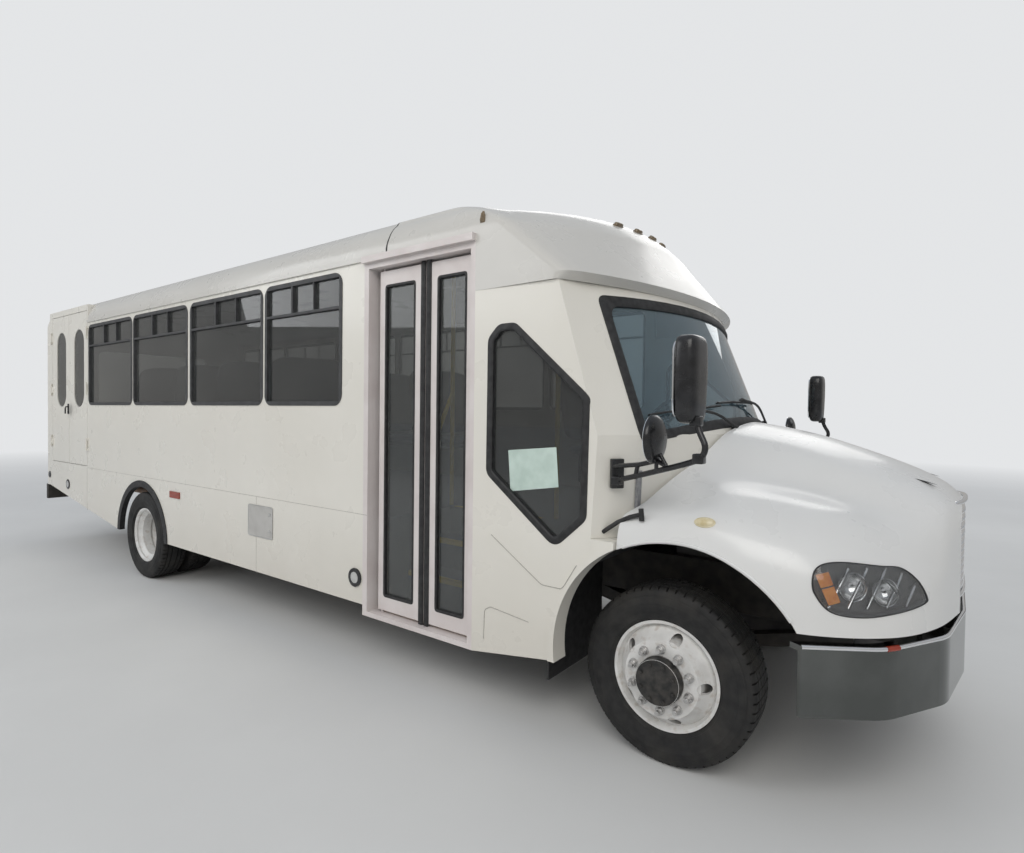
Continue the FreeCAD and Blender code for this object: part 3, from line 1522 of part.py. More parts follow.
# Seats: profile steps from the seat's rear foot, forward and up from the floor
SEAT = [
    (180, 0), (330, 0), (330, 360), (470, 350), (475, 450),
    (130, 470), (40, 1130), (-50, 1120), (40, 360), (180, 360),
]
name_size("aisle_half", 290)
name_size("seat_wall_gap", 10)
name_size("seat_first", 3150)
name_size("seat_pitch", 780)
RIGHT_ROWS = 5
LEFT_ROWS = 6


def seat_wire(back):
    return [(back + x, s.floor_top + z) for x, z in SEAT]


seats = Piece("passenger_seats")
for row in range(LEFT_ROWS):
    place = behind(s.seat_first + s.seat_pitch * row)
    if row < RIGHT_ROWS - 1:
        seats.pad("y", [seat_wire(place)], -wall_in + s.seat_wall_gap, -s.aisle_half)
    seats.pad("y", [seat_wire(place)], s.aisle_half, wall_in - s.seat_wall_gap)
driver = Piece("driver_seat")
name_size("driver_back", 1480)
name_size("driver_in", 340)
name_size("driver_out", 860)
driver.pad("y", [seat_wire(behind(s.driver_back))], s.driver_in, s.driver_out)

# Dashboard over the cowl floor
dash = Piece("dashboard")
dash_profile = [
    (behind(290), s.cowl_bottom + s.cowl_skin),
    (behind(215), s.cowl_bottom + s.cowl_skin),
    (behind(215), 1500),
    (behind(340), 1520),
    (behind(480), 1440),
    (behind(480), 1300),
    (behind(290), 1240),
]
dash.pad("y", [dash_profile], -1030, 1030)


def bar_between(name, start, end, radius):
    """A round bar from point to point."""
    a = Vector(*[as_size(c).value for c in start])
    b = Vector(*[as_size(c).value for c in end])
    bar = doc.addObject("Part::Cylinder", name)
    bar.Radius = as_size(radius).value
    bar.setExpression("Radius", as_size(radius).text)
    bar.Height = (b - a).Length
    bar.Placement = Placement(a, Rotation(Vector(0, 0, 1), b - a))
    return bar


# Steering wheel on its column
name_size("steer_radius", 215)
name_size("steer_rim", 14)
name_size("column_radius", 28)
wheel_y = (s.driver_in + s.driver_out) / 2
column_foot = (behind(498.3), wheel_y, 1405)
column_head = (behind(740), wheel_y, 1605)
ring = doc.addObject("Part::Torus", "steering_ring")
ring.setExpression("Radius1", s.steer_radius.text)
ring.setExpression("Radius2", s.steer_rim.text)
foot_point = Vector(*[as_size(c).value for c in column_foot])
head_point = Vector(*[as_size(c).value for c in column_head])
ring.Placement = Placement(head_point, Rotation(Vector(0, 0, 1), head_point - foot_point))
column = bar_between("steering_column", column_foot, column_head, s.column_radius)
boss_foot = head_point - (head_point - foot_point) * 0.08
boss = bar_between("steering_boss", boss_foot, head_point, s.column_radius * 2)
members = [ring, column, boss]
across = Vector(0, 1, 0)
upward = (head_point - foot_point).cross(across)
upward.normalize()
for number, way in enumerate((across, -across, upward)):
    tip = head_point + way * s.steer_radius.value
    members.append(bar_between("steering_spoke_%d" % number, head_point, tip, s.steer_rim * 0.8))
group("steering_wheel", members, "Part::MultiFuse")

# Stanchions and the diagonal rail at the entry steps
name_size("grab_radius", 16)
post_y = well_inner + 60
post_top = cove_top.value - s.roof_skin.value
posts = []
POSTS = [
    ("post_rear", well_back - 60, post_top),
    ("post_front", well_front + 60, s.cap_5_level.value - s.roof_skin.value),
]
for name, x, top in POSTS:
    posts.append(bar_between(name, (x, post_y, s.floor_top), (x, post_y, top), s.grab_radius))
rail_x = well_back + 60
rail_low = (rail_x, y_one + 40, s.step_mid)
rail_bend = (rail_x, y_one + 40, 1150)
posts.append(bar_between("rail_foot", rail_low, rail_bend, s.grab_radius))
posts.append(bar_between("rail_slope", rail_bend, (well_back - 60, post_y, 1800), s.grab_radius))
group("grab_rails", posts, "Part::MultiFuse")

# Mirrors on their arms, both sides
name_size("mirror_arm", 13)
name_size("mirror_wide", 187)
name_size("mirror_high", 350)
name_size("mirror_deep", 85)
name_size("convex_radius", 104)
name_size("foot_wide", 60)
name_size("foot_thick", 26)
name_size("foot_high", 140)
mirror_parts = []
share = (1440 - s.cowl_0_level.value) / (s.cowl_1_level.value - s.cowl_0_level.value)


def at_mirror(key):
    low = getattr(s, "cowl_0_" + key).value
    return low + (getattr(s, "cowl_1_" + key).value - low) * share


face_x = -(at_mirror("side") + at_mirror("corner")) / 2
face_y = (at_mirror("half") + at_mirror("corner_half")) / 2
face_run = at_mirror("side") - at_mirror("corner")
face_drop = at_mirror("half") - at_mirror("corner_half")
foot_lean = -math.degrees(math.atan2(face_drop, face_run))
face_long = math.hypot(face_run, face_drop)
arm_x = face_x + s.foot_thick.value * face_drop / face_long
arm_y = face_y + s.foot_thick.value * face_run / face_long
for side, sign in (("right", -1), ("left", 1)):
    def spot(x, y, z):
        return (ahead(x), sign * y, z)

    def arm(name, a, b, radius=s.mirror_arm):
        mirror_parts.append(bar_between(name + "_" + side, spot(*a), spot(*b), radius))

    arm("arm_low", (arm_x, arm_y, 1335), (290, 1400, 1490))
    arm("arm_high", (arm_x, arm_y, 1405), (40, 1290, 1455))
    arm("arm_join", (40, 1290, 1455), (290, 1400, 1490))
    arm("arm_brace", (-60, 1223, 1375), (-60, 1230, 1430))
    arm("arm_up", (290, 1400, 1490), (245, 1385, 1640))
    arm("arm_convex", (60, 1290, 1440), (52, 1296, 1540))
    arm("convex", (35, 1296, 1545), (75, 1296, 1545), s.convex_radius)
    foot_plate = doc.addObject("Part::Box", "mirror_foot_" + side)
    foot_plate.setExpression("Length", s.foot_wide.text)
    foot_plate.setExpression("Width", s.foot_thick.text)
    foot_plate.setExpression("Height", s.foot_high.text)
    lean = sign * foot_lean
    turn = Rotation(Vector(0, 0, 1), lean if sign > 0 else lean + 180)
    start = Vector(front_hub.value + face_x, sign * face_y, 1300)
    start = start + turn.multVec(Vector(-s.foot_wide.value / 2, s.run_gap.value * 2, 0))
    foot_plate.Placement = Placement(start, turn)
    mirror_parts.append(foot_plate)
    head = doc.addObject("Part::Box", "mirror_head_" + side)
    head.setExpression("Length", s.mirror_deep.text)
    head.setExpression("Width", s.mirror_wide.text)
    head.setExpression("Height", s.mirror_high.text)
    low = front_hub.value + 178
    head.Placement = Placement(Vector(low, sign * 1360 - 93.5, 1615), Rotation())
    mirror_parts.append(head)
group("mirrors", mirror_parts, "Part::MultiFuse")

# Access door, vent ring, side markers and tail lamps
access = Piece("access_door")
name_size("plate_proud", 5)
outer_face = -s.half_width
access_wire = rectangle(behind(3304), behind(2981), 690, 919)
access.pad("y", [access_wire], outer_face - s.plate_proud, outer_face)
vent = Piece("vent_ring")
vent.pad("y", [Round(behind(2020), 575, 60)], outer_face - s.plate_proud * 2, outer_face)
marks = Piece("small_lamps")
mark_wire = rectangle(behind(4635), behind(4450), 850, 908)
marks.pad("y", [mark_wire], outer_face - s.plate_proud * 2, outer_face)
marks.pad("y", [mark_wire], s.half_width, s.half_width + s.plate_proud * 2)
name_size("tail_in", 860)
name_size("tail_out", 1060)
name_size("tail_low", 1010)
name_size("tail_high", 1330)
tail = rectangle(s.tail_in, s.tail_out, s.tail_low, s.tail_high)
marks.pad("x", [tail, flipped(tail)], rear_face - s.plate_proud * 4, rear_face)

doc.recompute()

# Checks and export
problems = []
for item in doc.Objects:
    if "Invalid" in item.State or "Error" in item.State:
        problems.append("%s %s" % (item.Name, item.State))
for label, item in solids:
    shape = item.Shape
    if shape.isNull():
        problems.append(label + " is empty")
        continue
    if not shape.isValid():
        problems.append(label + " is not valid")
if problems:
    raise RuntimeError("; ".join(problems))
for label, item in solids:
    item.Shape.exportStep("parts/%s.step" % label)
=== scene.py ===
"""Looks of the minibus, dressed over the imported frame."""

from math import atan2, copysign, cos, exp, pi, radians, sin, sqrt, tan, tau

import bmesh
import bpy
from mathutils import Matrix, Vector
from mathutils.bvhtree import BVHTree


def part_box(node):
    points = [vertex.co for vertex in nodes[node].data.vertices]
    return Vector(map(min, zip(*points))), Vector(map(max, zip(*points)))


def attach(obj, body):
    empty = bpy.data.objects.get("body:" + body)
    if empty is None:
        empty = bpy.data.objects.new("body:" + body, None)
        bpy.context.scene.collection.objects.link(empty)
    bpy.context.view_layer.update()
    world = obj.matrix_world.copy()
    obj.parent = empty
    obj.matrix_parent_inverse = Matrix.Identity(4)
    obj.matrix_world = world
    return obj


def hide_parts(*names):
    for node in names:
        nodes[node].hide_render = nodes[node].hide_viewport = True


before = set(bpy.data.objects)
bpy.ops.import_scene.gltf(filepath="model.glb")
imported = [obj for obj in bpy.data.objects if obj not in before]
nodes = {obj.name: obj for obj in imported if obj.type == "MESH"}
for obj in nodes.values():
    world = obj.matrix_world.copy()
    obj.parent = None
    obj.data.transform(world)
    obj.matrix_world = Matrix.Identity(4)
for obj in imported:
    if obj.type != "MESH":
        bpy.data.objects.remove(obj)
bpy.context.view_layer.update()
FRONT = 3.46  # front hubs along X, metres as all lengths here
REAR = -1.794  # rear hubs
HUB = 0.419  # height of the hubs
SIDE = 1.22  # half width of the body
SIDES = (("right", -1), ("left", 1))
UP = Vector((0, 0, 1))


def ahead(distance):
    return FRONT + distance


def turns(count):
    """Angles of equal steps round a circle."""
    return [tau * step / count for step in range(count)]


def node_tree(name):
    """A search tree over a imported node's faces."""
    bm = bmesh.new()
    bm.from_mesh(nodes[name].data)
    bm.transform(nodes[name].matrix_world)
    tree = BVHTree.FromBMesh(bm)
    bm.free()
    return tree


def struck(tree, start, direction):
    """Where a ray meets a surface, and the normal on the ray's side."""
    hit, normal, _, _ = tree.ray_cast(Vector(start), Vector(direction))
    return hit, -normal if hit and normal.dot(Vector(direction)) > 0 else normal


# Materials
class Shading:
    """Procedural nodes in one tree."""

    def __init__(self, tree):
        self.tree = tree

    def add(self, kind, output, inputs, **settings):
        """The output of a new node; its inputs are sockets to link or plain values."""
        node = self.tree.nodes.new(kind)
        for key, value in settings.items():
            setattr(node, key, value)
        for key, value in inputs.items():
            if isinstance(value, bpy.types.NodeSocket):
                self.tree.links.new(value, node.inputs[key])
            else:
                node.inputs[key].default_value = value
        return node.outputs[output]

    def ramp(self, value, *stops):
        """A colour ramp through two stops of (position, colour)."""
        colour = self.add("ShaderNodeValToRGB", "Color", {"Fac": value})
        for element, (position, shade) in zip(colour.node.color_ramp.elements, stops):
            element.position, element.color = position, (*shade, 1)
        return colour

    def mix(self, share, first, second):
        first, second = ((*shade, 1) if isinstance(shade, tuple) else shade for shade in (first, second))
        return self.add("ShaderNodeMix", 2, {"Factor": share, 6: first, 7: second}, data_type="RGBA")


class Finish(Shading):
    """One principled shader fed by procedural nodes."""

    def __init__(self, name, **constants):
        self.material = bpy.data.materials.new(name)
        self.material.use_nodes = True
        super().__init__(self.material.node_tree)
        self.shader = self.tree.nodes["Principled BSDF"]
        self.place = self.add("ShaderNodeTexCoord", "Object", {})
        for socket, value in constants.items():
            self.shader.inputs[socket.replace("_", " ")].default_value = value

    def noise(self, scale, detail=4.0, stretch=None):
        place = self.place
        if stretch:
            place = self.add("ShaderNodeMapping", "Vector", {"Scale": stretch, "Vector": place})
        return self.add("ShaderNodeTexNoise", "Fac", {"Scale": scale, "Detail": detail, "Vector": place})

    def span(self, value, low, high, first, last):
        """Moves values from low and high to first and last."""
        limits = {"From Min": low, "From Max": high, "To Min": first, "To Max": last}
        return self.add("ShaderNodeMapRange", "Result", {"Value": value, **limits})

    def product(self, first, second):
        return self.add("ShaderNodeMath", "Value", {0: first, 1: second}, operation="MULTIPLY")

    def surface(self, colour, rough, scale, grain=None, strength=0.0, depth=0.0):
        """The material with its colour, uneven gloss and a grain of (noise scale, detail)."""
        fed = {"Base Color": colour, "Roughness": self.span(self.noise(scale), 0.3, 0.7, *rough)}
        if grain:
            height = {"Strength": strength, "Distance": depth, "Height": self.noise(*grain)}
            fed["Normal"] = self.add("ShaderNodeBump", "Normal", height)
        for socket, source in fed.items():
            self.tree.links.new(source, self.shader.inputs[socket])
        return self.material

    def low_dust(self, clean, dust, low, high, strength):
        """Dust that fades upward, broken up by noise."""
        height = self.add("ShaderNodeSeparateXYZ", "Z", {"Vector": self.place})
        patch = self.span(self.noise(1.6, 3.0), 0.25, 0.8, 0.5, 1.0)
        return self.mix(self.product(self.span(height, low, high, strength, 0.0), patch), clean, dust)


def plain(
    name, dark, light, scale=12.0, rough=(0.35, 0.5), metal=0.0, grain=400.0, depth=0.0004, strength=0.15,
    **extra,
):
    """Noise between two shades, uneven gloss and a fine grain."""
    finish = Finish(name, Metallic=metal, **extra)
    colour = finish.ramp(finish.noise(scale, 6.0), (0.35, dark), (0.65, light))
    return finish.surface(colour, rough, scale * 0.8, (grain, 2.0), strength, depth)


def paint(name, dark, light, dust_low=0.25, dust_high=1.05, dust=0.4):
    """Clear-coated paint with faint upright streaks and dust up to a height."""
    finish = Finish(name, Coat_Weight=0.35, Coat_Roughness=0.12, Specular_IOR_Level=0.5)
    clean = finish.ramp(finish.noise(1.3, 5.0), (0.3, dark), (0.7, light))
    streak = finish.span(finish.noise(2.0, 3.0, (3.0, 3.0, 0.35)), 0.4, 0.9, 0.0, 0.06)
    clean = finish.mix(streak, clean, (0.6, 0.57, 0.51))
    colour = finish.low_dust(clean, (0.42, 0.37, 0.3), dust_low, dust_high, dust)
    return finish.surface(colour, (0.24, 0.36), 4.0, (60.0, 3.0), 0.05, 0.0006)


def glass(name, dark, light, transmission):
    finish = Finish(name, IOR=1.45, Transmission_Weight=transmission)
    colour = finish.ramp(finish.noise(1.6, 5.0), (0.35, dark), (0.7, light))
    return finish.surface(colour, (0.0, 0.03), 3.0, (0.9, 1.0), 0.02, 0.001)


WHITE = paint("paint_white", (0.775, 0.748, 0.682), (0.8, 0.776, 0.714))
HOOD_WHITE = paint("paint_hood", (0.735, 0.735, 0.725), (0.765, 0.765, 0.755), 0.6, 1.1, 0.18)
# The roof, front cap and drip rails take a darker copy of the white body paint, as painted shade over the top
# of the body.
ROOF_WHITE_SHADED = paint("paint_roof_shaded", (0.6, 0.585, 0.55), (0.64, 0.625, 0.59), 0.0, 0.1, 0.0)
DOOR = plain("door_aluminium", (0.66, 0.6, 0.585), (0.73, 0.68, 0.665), 5.0, (0.3, 0.42))
BLACK = plain("chassis_black", (0.018, 0.017, 0.016), (0.05, 0.044, 0.038), 14.0, (0.45, 0.75))
RUBBER = plain("rubber_black", (0.012, 0.012, 0.013), (0.03, 0.03, 0.031), 30.0, (0.5, 0.65))
GLOSS = plain("plastic_black", (0.01, 0.01, 0.011), (0.022, 0.022, 0.024), 20.0, (0.18, 0.3))
TRIM = plain("plastic_dark", (0.035, 0.036, 0.038), (0.06, 0.061, 0.064), 24.0, (0.5, 0.62))
STEEL = plain("steel_bare", (0.32, 0.31, 0.3), (0.48, 0.47, 0.46), 18.0, (0.32, 0.5), 0.9)
ALLOY = plain("alloy", (0.5, 0.5, 0.49), (0.62, 0.62, 0.61), 16.0, (0.3, 0.42), 0.7)
IRON = plain("engine_iron", (0.1, 0.1, 0.105), (0.18, 0.17, 0.165), 9.0, (0.5, 0.7), 0.4)
RUST = plain("exhaust_rust", (0.2, 0.115, 0.07), (0.32, 0.24, 0.19), 10.0, (0.55, 0.8), 0.4)
FLOOR = plain("floor_vinyl", (0.2, 0.205, 0.21), (0.3, 0.305, 0.31), 90.0, (0.45, 0.6))
GREY = plain("hatch_grey", (0.42, 0.41, 0.39), (0.52, 0.51, 0.49), 7.0, (0.35, 0.5))
YELLOW = plain("paint_yellow", (0.72, 0.5, 0.05), (0.8, 0.58, 0.08), 20.0, (0.35, 0.5))
RED = plain("lens_red", (0.24, 0.028, 0.012), (0.33, 0.042, 0.02), 30.0, (0.12, 0.2))
AMBER = plain("lens_amber", (0.7, 0.22, 0.03), (0.82, 0.32, 0.05), 30.0, (0.1, 0.2))
CHROME = plain("chrome", (0.78, 0.78, 0.79), (0.86, 0.86, 0.87), 6.0, (0.04, 0.12), 1.0, 90.0, 0.0002, 0.05)
# The front bumper's chrome is a much darker copy of the chrome: painted shade in its reflections.
BUMPER_CHROME_SHADED = plain(
    "chrome_bumper_shaded", (0.12, 0.125, 0.12), (0.18, 0.185, 0.18), 2.5, (0.05, 0.14), 1.0, 40.0, 0.0006, 0.12,
)
SIDE_GLASS = glass("glass_dark", (0.3, 0.31, 0.31), (0.38, 0.39, 0.385), 0.9)
DOOR_GLASS = glass("glass_door", (0.48, 0.5, 0.5), (0.56, 0.58, 0.57), 0.92)
CLEAR = glass("glass_screen", (0.42, 0.58, 0.68), (0.5, 0.66, 0.74), 0.9)
LENS = glass("lens_clear", (0.92, 0.93, 0.93), (0.97, 0.97, 0.97), 0.95)


def stained(finish, scale, detail, dark, light, patches, low, high, share, stain):
    """Noise between two shades, with patches of a stain."""
    clean = finish.ramp(finish.noise(scale, detail), (0.35, dark), (0.65, light))
    return finish.mix(finish.span(finish.noise(*patches), low, high, 0.0, share), clean, stain)


# White steel discs with brake dust, and tyre rubber with road dust
steel_disc = Finish("wheel_white", Coat_Weight=0.15, Coat_Roughness=0.2)
WHEEL = steel_disc.surface(stained(
    steel_disc, 14.0, 6.0, (0.66, 0.65, 0.63), (0.78, 0.775, 0.76), (28.0, 6.0), 0.52, 0.72, 0.55,
    (0.4, 0.33, 0.27),
), (0.35, 0.5), 10.0, (160.0, 3.0), 0.12, 0.0006)
tread = Finish("tyre_rubber")
TYRE_RUBBER = tread.surface(stained(
    tread, 22.0, 7.0, (0.008, 0.008, 0.0085), (0.018, 0.0175, 0.017), (6.0, 8.0), 0.45, 0.75, 0.28,
    (0.085, 0.075, 0.062),
), (0.62, 0.82), 9.0, (240.0, 3.0), 0.25, 0.0012)

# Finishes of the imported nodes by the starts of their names
CAD_FINISHES = {
    WHITE: "side_wall skirts lift_door_frame lift_leaf cowl cab_shells rear_wall",
    ROOF_WHITE_SHADED: "roof front_cap drip_rails",
    HOOD_WHITE: "hood",
    BLACK: "frame_rails cross_members knuckle axles leaf_springs drive_line rear_bumper",
    RUBBER: "rubber_trims tyre",
    DOOR: "entry_door_frame entry_leaf",
    SIDE_GLASS: "side_glass lift_glass",
    DOOR_GLASS: "entry_glass",
    CLEAR: "windscreen",
    FLOOR: "floor entry_steps",
    TRIM: "dashboard window_frames steering_wheel toe_board passenger_seats driver_seat",
    BUMPER_CHROME_SHADED: "front_bumper",
    CHROME: "grille",
    IRON: "engine",
    ALLOY: "radiator fuel_tank",
    RUST: "exhaust",
    YELLOW: "grab_rails",
    GLOSS: "vent_ring mirrors",
    GREY: "access_door",
    LENS: "headlamps",
    RED: "small_lamps",
    WHEEL: "wheel",
}
for finish, starts in CAD_FINISHES.items():
    for name, node in nodes.items():
        if name.startswith(tuple(starts.split())):
            node.data.materials.clear()
            node.data.materials.append(finish)


# Mesh tools
def smoothed(mesh, degrees):
    mesh.shade_smooth()
    mesh.set_sharp_from_angle(angle=radians(degrees))


def placed(name, bm):
    """A mesh object in the scene from bmesh faces."""
    mesh = bpy.data.meshes.new(name)
    bm.to_mesh(mesh)
    bm.free()
    piece = bpy.data.objects.new(name, mesh)
    bpy.context.scene.collection.objects.link(piece)
    return piece


def shown(name, parts, finish, smooth=30.0, body="chassis"):
    """A piece of one or more parts, riding on one body; smooth is the angle that still looks smooth."""
    bm = merged(parts) if isinstance(parts, list) else parts
    bmesh.ops.recalc_face_normals(bm, faces=bm.faces)
    piece = placed(name, bm)
    piece.data.materials.append(finish)
    if smooth:
        smoothed(piece.data, smooth)
    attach(piece, body)
    return piece


def joined(bm, distance=1e-6):
    """Welds the points that lie on one another."""
    bmesh.ops.remove_doubles(bm, verts=bm.verts, dist=distance)
    return bm


def strip(rings, closed=True):
    """Faces between rings of equal length; closed rings join their ends."""
    bm = bmesh.new()
    rows = [[bm.verts.new(point) for point in ring] for ring in rings]
    count = len(rows[0])
    for row, after in zip(rows, rows[1:]):
        for index in range(count if closed else count - 1):
            other = (index + 1) % count
            bm.faces.new((row[index], row[other], after[other], after[index]))
    return bm


def capped(rings):
    """A closed form of rings with a face over each end."""
    bm = strip(rings)
    bm.verts.ensure_lookup_table()
    count = len(rings[0])
    bm.faces.new(bm.verts[:count])
    bm.faces.new(bm.verts[-count:])
    return bm


def paired(rows, shift):
    """Two sheets of the same rows, the second one shifted."""
    behind = [[point + Vector(shift) for point in line] for line in rows]
    return [strip(rows, closed=False), strip(behind, closed=False)]


def merged(parts):
    """One bmesh out of several."""
    whole = bmesh.new()
    for part in parts:
        mesh = bpy.data.meshes.new("part")
        part.to_mesh(mesh)
        part.free()
        whole.from_mesh(mesh)
        bpy.data.meshes.remove(mesh)
    return whole


def tube(path, radius, sides=10, closed=False):
    """A round tube along points, with closed ends or as a loop."""
    points = [Vector(point) for point in path]
    count = len(points)
    rings = []
    up = UP
    for index, point in enumerate(points):
        if closed:
            along = points[(index + 1) % count] - points[index - 1]
        else:
            along = points[min(index + 1, count - 1)] - points[max(index - 1, 0)]
        along.normalize()
        first = up - along * up.dot(along)
        if first.length < 0.1:
            first = Vector((1, 0, 0)) - along * along.x
        first.normalize()
        up = first
        second = along.cross(first)
        rings.append([point + (first * cos(turn) + second * sin(turn)) * radius for turn in turns(sides)])
    if closed:
        return joined(strip(rings + rings[:1]))
    return capped(rings)


def corner_curve(before, here, after, size, steps):
    """Points that round one corner, within 0.45 of each side."""
    before, here, after = Vector(before), Vector(here), Vector(after)
    back, fore = before - here, after - here
    reach = min(size / tan(back.angle(fore) / 2), 0.45 * back.length, 0.45 * fore.length)
    start, end = here + back.normalized() * reach, here + fore.normalized() * reach
    shares = [step / steps for step in range(steps + 1)]
    return [start * (1 - s) ** 2 + here * 2 * s * (1 - s) + end * s ** 2 for s in shares]


def rounded(corners, radius, steps=5):
    """A closed outline with its corners rounded; radius is one value or one for each corner."""
    sizes = radius if isinstance(radius, list) else [radius] * len(corners)
    out = []
    for before, here, after, size in zip(corners[-1:] + corners, corners, corners[1:] + corners[:1], sizes):
        out += corner_curve(before, here, after, size, steps) if size else [Vector(here)]
    return out


def open_curve(points, radius, steps=8):
    """An open line with its inner corners rounded."""
    out = [Vector(points[0])]
    for before, here, after in zip(points, points[1:], points[2:]):
        out += corner_curve(before, here, after, radius, steps)
    return out + [Vector(points[-1])]


def offset_outline(outline, distance):
    """Shifts a closed plane outline along its own normals."""
    out = []
    count = len(outline)
    centre = sum(outline, Vector((0, 0))) / count
    for index, point in enumerate(outline):
        along = outline[(index + 1) % count] - outline[index - 1]
        normal = Vector((along.y, -along.x)).normalized()
        if normal.dot(point - centre) < 0:
            normal = -normal
        out.append(point + normal * distance)
    return out


def rectangle(low_x, low_z, high_x, high_z):
    return [(low_x, low_z), (high_x, low_z), (high_x, high_z), (low_x, high_z)]


def circle(x, z, radius, sides=96):
    return [(x + radius * cos(a), z + radius * sin(a)) for a in turns(sides)]


def prism(outline, axis, low, high, steps=1):
    """A closed form from a plane outline, along one axis."""
    def at(u, v, w):
        return {"X": (w, u, v), "Y": (u, w, v), "Z": (u, v, w)}[axis]

    low, high = sorted((low, high))
    levels = [low + (high - low) * step / steps for step in range(steps + 1)]
    return capped([[at(u, v, level) for u, v in outline] for level in levels])


def solid_block(first, second, bevel, segments=3):
    """A block with rounded edges between two opposite corners."""
    bm = bmesh.new()
    bmesh.ops.create_cube(bm, size=1.0)
    low, high = (Vector(ends) for ends in zip(*map(sorted, zip(first, second))))
    for vert in bm.verts:
        vert.co = [low[i] + (vert.co[i] + 0.5) * (high[i] - low[i]) for i in range(3)]
    bmesh.ops.bevel(bm, geom=bm.edges, offset=bevel, segments=segments, profile=0.5, affect="EDGES")
    return bm


# Smooth lines and skins
def blended(pts, steps):
    """The smooth line through a list's inner points."""
    out = []
    for a, b, c, d in zip(pts, pts[1:], pts[2:], pts[3:]):
        bend, turn = 2 * a - 5 * b + 4 * c - d, 3 * b - a - 3 * c + d
        for t in (step / steps for step in range(steps)):
            out.append(0.5 * (2 * b + (c - a) * t + bend * t ** 2 + turn * t ** 3))
    return out


def curve_through(points, steps=6):
    pts = [Vector(point) for point in points]
    return blended([pts[0] * 2 - pts[1], *pts, pts[-1] * 2 - pts[-2]], steps) + pts[-1:]


def closed_curve(points, steps=6):
    pts = [Vector(point) for point in points]
    return blended(pts[-1:] + pts + pts[:2], steps)


def spline(pts, steps):
    """A smooth line whose ends count twice."""
    return blended([pts[0], *pts, pts[-1]], steps) + [pts[-1]]


def topped(rings, last):
    """A skin closed by one face over its last row, with its search tree."""
    bm = strip(rings, closed=False)
    bm.faces.new([bm.verts.new(point) for point in last])
    joined(bm, 1e-5)
    bmesh.ops.recalc_face_normals(bm, faces=bm.faces)
    return bm, BVHTree.FromBMesh(bm)


def applied(piece):
    """Keeps the result of the modifiers as the piece's own mesh."""
    graph = bpy.context.evaluated_depsgraph_get()
    mesh = bpy.data.meshes.new_from_object(piece.evaluated_get(graph))
    piece.modifiers.clear()
    piece.data = mesh


def thickened(piece, wall):
    skin = piece.modifiers.new("wall", "SOLIDIFY")
    skin.thickness, skin.offset, skin.use_even_offset = wall, -1.0, True
    applied(piece)


def cut_away(piece, cutters, degrees):
    """Takes closed forms out of a piece and leaves plain mesh."""
    for cutter in cutters:
        bmesh.ops.recalc_face_normals(cutter, faces=cutter.faces)
        tool = placed("cutter", cutter)
        cut = piece.modifiers.new("cut", "BOOLEAN")
        cut.operation, cut.solver, cut.object = "DIFFERENCE", "EXACT", tool
        applied(piece)
        bpy.data.objects.remove(tool)
    smoothed(piece.data, degrees)


# Tyres: half a section as shares of the width across and of the tyre's depth up
RIM, TYRE, WIDTH = 0.248, 0.419, 0.248  # radii of rim and tyre, width of the tyre
WALL_POINTS = [
    (0.345, 0.0), (0.357, 0.05), (0.385, 0.085), (0.425, 0.12), (0.452, 0.17), (0.466, 0.175), (0.47, 0.205),
    (0.474, 0.25), (0.487, 0.34), (0.489, 0.345), (0.495, 0.45), (0.4985, 0.54), (0.5, 0.545), (0.5, 0.57),
    (0.4965, 0.575), (0.49, 0.66), (0.478, 0.74), (0.482, 0.745), (0.477, 0.775), (0.47, 0.78), (0.458, 0.85),
    (0.44, 0.905),
]
TREAD_POINTS = [  # (share across, cut of the lateral grooves), with None on the round grooves' floor
    (0.37, 0.06), (0.275, 0.02), (0.27, None), (0.248, None), (0.243, 0.012), (0.125, 0.012), (0.12, None),
    (0.098, None), (0.093, 0.012), (0.0, 0.012),
]
GROOVE = 0.925  # how far up the round grooves' floor lies
BLOCKS = 60
BLOCK_STEPS = ((0.0, False), (0.8, False), (0.82, True), (0.98, True))  # share of a block, in the groove
LEAN = 0.012  # twist of the lateral grooves, radians


def tyre_profile():
    """Points (across, up, cut): cut is how far a lateral groove lowers the point."""
    half = [(across, up, 0.0) for across, up in WALL_POINTS]
    half += [(0.418, 0.945, 0.05), (0.392, 0.975, 0.06)]
    for across, cut in TREAD_POINTS:
        crown = 1.0 - 0.02 * (across / 0.385) ** 2
        half.append((across, GROOVE, 0.0) if cut is None else (across, crown, cut))
    return half + [(-across, up, cut) for across, up, cut in reversed(half[:-1])]


def tyre_mesh(x, y):
    profile = tyre_profile()
    rings = []
    for block in range(BLOCKS):
        for share, grooved in BLOCK_STEPS:
            turn = tau * (block + share) / BLOCKS
            ring = []
            for across, up, cut in profile:
                radius = RIM + (TYRE - RIM) * (up - (cut if grooved else 0.0))
                twist = turn + (LEAN if across > 0 else -LEAN) * abs(across) * 2
                ring.append((x + radius * cos(twist), y + WIDTH * across, HUB + radius * sin(twist)))
            rings.append(ring)
    return joined(strip(rings + rings[:1], closed=False))


WHEELS = [
    ("front_right", "front_wheel_right", "tyre_front_right", FRONT, [-0.93]),
    ("front_left", "front_wheel_left", "tyre_front_left", FRONT, [0.93]),
    ("rear_right", "rear_wheels_right", "tyres_rear_right", REAR, [-1.083, -0.797]),
    ("rear_left", "rear_wheels_left", "tyres_rear_left", REAR, [1.083, 0.797]),
]
for name, body, node, x, lines in WHEELS:
    piece = shown("tread_" + name, [tyre_mesh(x, y) for y in lines], TYRE_RUBBER, 32.0, body)
    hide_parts(node)

# Cowl face: rows of height, corners' distance behind the front hub, half width and centre's distance
COWL = [(1.06, 0.165, 1.06, -0.1), (1.55, 0.14, 1.05, -0.105), (2.309, 0.44, 1.06, 0.2)]


def bowed(y, corner, half, centre):
    """Where a face bowed from its centre to its corners lies at y, ahead of the front hub."""
    rise = corner - centre
    bow = (half ** 2 + rise ** 2) / (2 * rise)
    return -centre - bow + sqrt(bow ** 2 - y ** 2)


